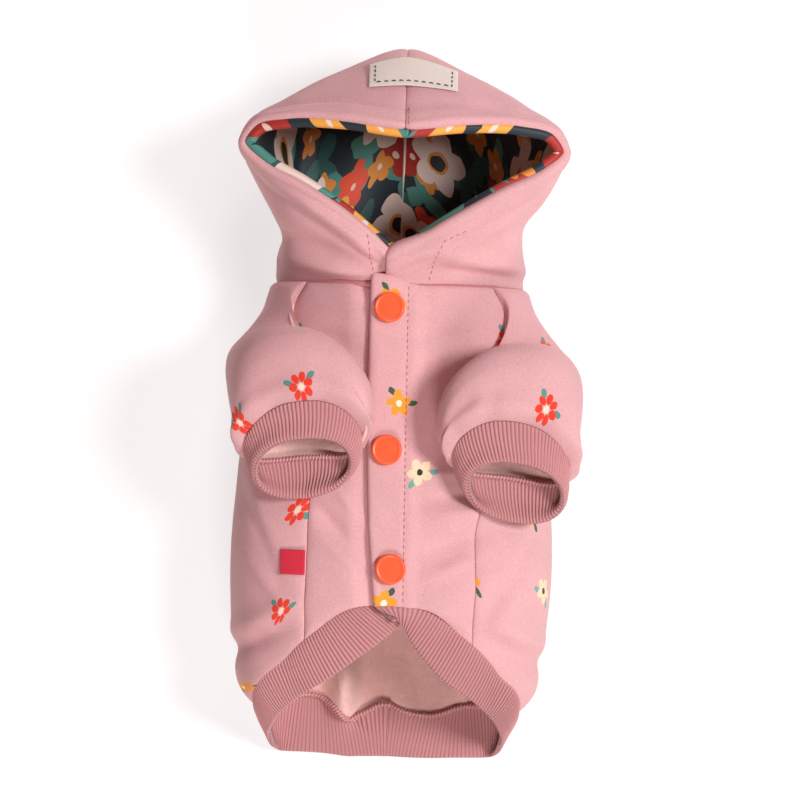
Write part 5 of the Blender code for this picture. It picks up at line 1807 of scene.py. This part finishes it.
def make_label():
    """A grid of straight lines in plan, laid on the hood behind the brow, and the path of the
    dashes 2 mm inside three of its edges."""
    down = LABEL_FROM_RIM + LABEL_DEPTH * edged(LABEL_DEPTH, 0.9 * MM)[:, None]
    x = LABEL_SHIFT + LABEL_WIDTH * (edged(LABEL_WIDTH, 0.9 * MM)[None, :] - 0.5)
    x, down = np.broadcast_arrays(x, down)
    round_, at = on_hood(x, down)
    normal = normals_of(hood, round_, at, (0.01, 0.01))
    points = hood(round_, at) + normal * (PATCH_CLEAR + PATCH + 0.15 * MM)
    points = points + normal * (0.12 * MM * noise(points, 9 * MM))[..., None]
    label = cloth("twill_patch", points, normal, PATCH, [twill], sewn="tblr", sink=0.25)
    i = np.searchsorted(edged(LABEL_DEPTH, 0.9 * MM) * LABEL_DEPTH, DASHES_INSIDE)
    j = np.searchsorted(edged(LABEL_WIDTH, 0.9 * MM) * LABEL_WIDTH, DASHES_INSIDE)
    path = np.concatenate([points[i:-i, j][::-1], points[i, j:-j], points[i:-i, -j - 1]])
    tops = np.concatenate([normal[i:-i, j][::-1], normal[i, j:-j], normal[i:-i, -j - 1]])
    seam_lines["label"] = path, tops
    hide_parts("hood_label")
    return label


def make_tab():
    """A strip on the belly's surface that runs outwards from the side seam."""
    y = TAB_Y + TAB_WIDTH * (0.5 - edged(TAB_WIDTH, 0.5 * MM)[:, None])
    x = -SIDE_SEAM_X - SEAM_GAP - TAB_LENGTH * edged(TAB_LENGTH, 0.5 * MM)[None, :]
    angle = torso_angle(x, y)
    normal = normals_of(torso, angle, y + 0 * x)
    points = torso(angle, y + 0 * x) + normal * (PATCH_CLEAR + PATCH)
    tab = cloth("ribbon_tab", points, normal, PATCH, [ribbon], sewn="r", sink=0.3)
    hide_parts("side_tag")
    return tab


for piece in (make_label(), make_tab()):
    print(piece.name, made_triangles[piece.name], "triangles")

# %% [markdown]
# ## Stitches and seams
#
# Sewing thread is twisted polyester. At this size it is a tube round a curve. All stitches of a row
# are one mesh, worked out as one array.

# %% Tubes of thread
THREAD = 0.24 * MM
STITCH_LENGTH = 2.1 * MM
STITCH_STEP = 2.9 * MM
OVERLOCK_PITCH = 1.5 * MM


def tubes(name, curves, up, radius, material, sides=6):
    """Closed tubes round curves, given as (curve, point, xyz), with a radius for each point. The
    ring at a point stands across the curve, turned so that it has a corner towards up."""
    side = unit(np.cross(unit(np.gradient(curves, axis=1)), up))
    top = unit(np.cross(side, np.gradient(curves, axis=1)))
    a = np.arange(sides) * FULL_TURN / sides
    wide = np.broadcast_to(radius, curves.shape[:2])[:, :, None, None]
    ring = side[:, :, None] * np.cos(a)[:, None] + top[:, :, None] * np.sin(a)[:, None]
    points = (curves[:, :, None] + wide * ring).reshape(-1, 3)
    row, column = quads(curves.shape[1], sides, True)
    cells = row * sides + column % sides
    first = np.array([(0, k, k + 1, k + 2) for k in range(1, sides - 1, 2)])
    last = first + (curves.shape[1] - 1) * sides
    one = np.concatenate([cells, first, last])
    faces = (np.arange(len(curves))[:, None, None] * curves.shape[1] * sides + one).reshape(-1, 4)
    return fill_mesh(name, points, faces, np.zeros((*faces.shape, 2)), np.zeros(len(faces)), [material])


def along(path, values, at):
    """Values of a path's points, read at lengths along it."""
    length = run(path, 0)
    return np.stack([np.interp(at, length, values[:, k]) for k in range(3)], axis=-1)


print("a stitch is", STITCH_LENGTH / MM, "mm long, one for every", STITCH_STEP / MM, "mm")

# %% [markdown]
# A stitch is a short tube whose middle stands up from the cloth and whose ends dive into it. A seam
# on the inside is overlocked: a thread winds round both edges, which is a helix along the seam.

# %% Rows of stitches, and an overlocked seam
def stitches(name, path, normal, material, length=STITCH_LENGTH, step=STITCH_STEP, thread=THREAD):
    """A row of stitches along a path of points with their normals."""
    total = run(path, 0)[-1]
    count = int(total // step)
    first = (np.arange(count) + 0.5) * total / count - length / 2
    share = np.linspace(0, 1, 7)
    at = first[:, None] + share * length
    height = thread * (1.6 * np.sin(math.pi * share) - 0.9)
    up = unit(along(path, normal, at))
    curves = along(path, path, at) + up * height[:, None]
    slim = thread * (0.55 + 0.45 * np.sin(math.pi * share))
    return tubes(name, curves, up, slim, material)


def overlock(name, path, inward):
    """A core of doubled cloth along the inside of a seam, and the thread wound round it."""
    length = run(path, 0)[-1]
    turns = int(length / OVERLOCK_PITCH)
    at = np.linspace(0, length, turns * 12 + 1)
    centre, into = along(path, path, at), unit(along(path, inward, at))
    centre = centre + into * (0.3 * MM * noise(centre, 4 * MM))[:, None]
    side = unit(np.cross(np.gradient(centre, axis=0), into))
    turn = FULL_TURN * at / OVERLOCK_PITCH
    out = side * 1.25 * MM * np.cos(turn)[:, None] + into * 0.75 * MM * np.sin(turn)[:, None]
    wound = tubes(f"thread_{name}", (centre + out)[None], unit(out)[None], 0.27 * MM, pale_thread)
    core = tubes(f"seam_{name}", centre[None, ::6], into[None, ::6], 0.85 * MM, pink_thread, 8)
    return wound, core


print("an overlocked seam has a turn for every", OVERLOCK_PITCH / MM, "mm")

# %% [markdown]
# Stitches show beside the turned edge, round the hood's front corners where its facing ends, in the
# brow's short seam and round the patch. The lines are drawn in plan and laid on the finished cloth
# from above.

# %% Rows of thread on the cloth
def from_above(pieces, line, step=1.0 * MM):
    """A line given by x and y, laid from above on the uppermost of some pieces."""
    bpy.context.view_layer.update()
    length = run(line, 0)
    at = np.linspace(0, length[-1], int(length[-1] / step) + 1)
    places, normals = [], []
    for x, y in zip(np.interp(at, length, line[:, 0]), np.interp(at, length, line[:, 1])):
        start = Vector((x, y, 0.2)) + Vector(GARMENT_MIDDLE)
        hits = [piece.ray_cast(start, (0, 0, -1)) for piece in pieces]
        hits = [hit for hit in hits if hit[0]]
        if hits:
            best = max(hits, key=lambda hit: hit[1].z)
            places.append(np.array(best[1]) - GARMENT_MIDDLE)
            normals.append(np.array(best[2]))
    return np.array(places), unit(np.array(normals) + (0, 0, 0.5))


hoods = [bpy.data.objects["knit_hood_left"], bpy.data.objects["knit_hood_right"]]
left_facing = np.array([(-15.0, 73.0), (-13.4, 62.0), (-10.8, 53.0)]) * MM
right_facing = np.array([(29.0, 75.5), (19.0, 70.5), (15.0, 62.0), (12.7, 53.0)]) * MM
brow_seam = np.array([(1.6, 129.0), (1.6, 119.5)]) * MM
rows_of_thread = [
    stitches("thread_placket", *from_above([belly_right], PLACKET_STITCH), pink_thread),
    stitches("thread_facing_left", *from_above(hoods[:1], left_facing), pink_thread),
    stitches("thread_facing_right", *from_above(hoods[1:], right_facing), pink_thread),
    stitches("thread_brow", *from_above(hoods, brow_seam), pink_thread),
    stitches("thread_patch", *seam_lines["label"], dark_thread, *PATCH_STITCH),
    *overlock("hem", *seam_lines["hem"]),
    *overlock("cuff_left", *seam_lines["cuff_left"]),
    *overlock("cuff_right", *seam_lines["cuff_right"]),
]
print("thread pieces:", len(rows_of_thread), "triangles:",
      sum(made_triangles[piece.name] for piece in rows_of_thread))

# %% [markdown]
# The neck seam is a thick roll of doubled cloth inside the garment, and the lining's two halves
# meet in a thin roll below the hood's middle seam.

# %% Rolls of the inner seams
neck_angle = np.linspace(-176.0, 176.0, 160)
neck = torso(neck_angle, NECK_Y + 0 * neck_angle)
neck_in = -normals_of(torso, neck_angle, NECK_Y + 0 * neck_angle)
neck_roll = tubes("seam_neck", (neck + neck_in * 2.6 * MM)[None], neck_in[None], 1.7 * MM, pink_thread, 8)
down = np.linspace(0.1, 0.98, 60)
middle_up = hood_normals(np.full((60, 2), 1e-6), np.stack([down, down], -1))[:, 0]
middle = hood(0 * down + 1e-6, down) - middle_up * (CLOTH + LINING_EASE + 0.5 * MM)
lining_roll = tubes("lining_seam", middle[None], middle_up[None], 0.7 * MM, lining, 8)
print("triangles of the rolls:", made_triangles["seam_neck"] + made_triangles["lining_seam"])

# %% [markdown]
# ## The picture
#
# The garment lies on a white sheet that is lit from below, as on a product table, so the floor
# stays white even in the shadow.

# %% White floor
FLOOR_SIZE = 6.0


def make_floor():
    """A large square of white paper that also gives light, which keeps it white in the shadow."""
    mesh = bpy.data.meshes.new("paper_floor")
    half = FLOOR_SIZE / 2
    corners = [(-half, -half, 0), (half, -half, 0), (half, half, 0), (-half, half, 0)]
    mesh.from_pydata(corners, [], [(0, 1, 2, 3)])
    mesh.materials.append(start("white_paper", {
        "Base Color": linear("#A0A0A0"), "Roughness": 0.9, "Specular IOR Level": 0.1,
        "Emission Color": linear("#FFFFFF"), "Emission Strength": 0.70,
    })[0])
    return placed("paper_floor", mesh)


floor = make_floor()
print("floor", FLOOR_SIZE, "m wide")

# %% [markdown]
# Three soft lamps stand round the garment: one to the right, one beyond the hem that looks into the
# mouth and the cuffs, and one beyond the hood. A dim world fills the rest. It is pink like the light
# that the cloth throws back into its own folds.

# %% Lamps and world
AIM_HEIGHT = 0.03
LAMPS = [
    # name, place in m, size in m, power in W, colour
    ("window", (1.05, 0.25, 1.45), 0.5, 24.0, "#FFFFFF"),
    ("hem_card", (0.1, -1.1, 1.1), 0.5, 12.5, "#FFF4F2"),
    ("hood_card", (0.1, 1.3, 1.2), 0.6, 5.0, "#FFE4E4"),
]


def area_light(name, place, size, power, colour):
    """A round lamp that faces the garment's middle, AIM_HEIGHT above the floor."""
    data = bpy.data.lights.new(name, "AREA")
    data.shape, data.size, data.energy, data.color = "DISK", size, power, linear(colour)[:3]
    lamp = placed(name, data)
    lamp.location = place
    aim = Vector((0, 0, AIM_HEIGHT)) - Vector(place)
    lamp.rotation_euler = aim.to_track_quat("-Z", "Y").to_euler()
    return lamp


lamps = [area_light(*row) for row in LAMPS]
world = bpy.data.worlds.new("white_room")
world.use_nodes = True
world.node_tree.nodes["Background"].inputs["Color"].default_value = linear("#FFD0CE")
world.node_tree.nodes["Background"].inputs["Strength"].default_value = 0.14
bpy.context.scene.world = world
print("power of the lamps:", sum(row[3] for row in LAMPS), "W")

# %% [markdown]
# The photo was taken from straight above and from some way off, as by a long lens at a metre and a
# half. It is turned by two degrees, as the garment lies.

# %% Camera
CAMERA_HEIGHT = 1.5
CAMERA_ASIDE = 0.00167      # m that the garment lies left of the picture's middle
CAMERA_TURN = 1.89          # degrees
LENS = 146.0                # mm, on a picture 36 mm wide


def make_camera():
    """A long lens straight above the garment, turned by the angle at which the garment lies."""
    data = bpy.data.cameras.new("photo_camera")
    data.sensor_width, data.lens = 36.0, LENS
    camera = placed("photo_camera", data)
    middle = Matrix.Translation(Vector((CAMERA_ASIDE, 0.0, CAMERA_HEIGHT)) + Vector(GARMENT_MIDDLE))
    camera.matrix_world = middle @ Matrix.Rotation(math.radians(CAMERA_TURN), 4, "Z")
    bpy.context.scene.camera = camera
    return camera


bpy.context.scene.view_settings.view_transform = "Standard"
make_camera()
print("camera at", [round(v, 4) for v in bpy.context.scene.camera.matrix_world.translation])

# %% [markdown]
# ## The count of triangles
#
# The triangles of every piece made here are added up. Cloth may be a little fuller than its
# solid, but not larger.

# %% Triangles of all pieces
print("all triangles:", sum(made_triangles.values()))
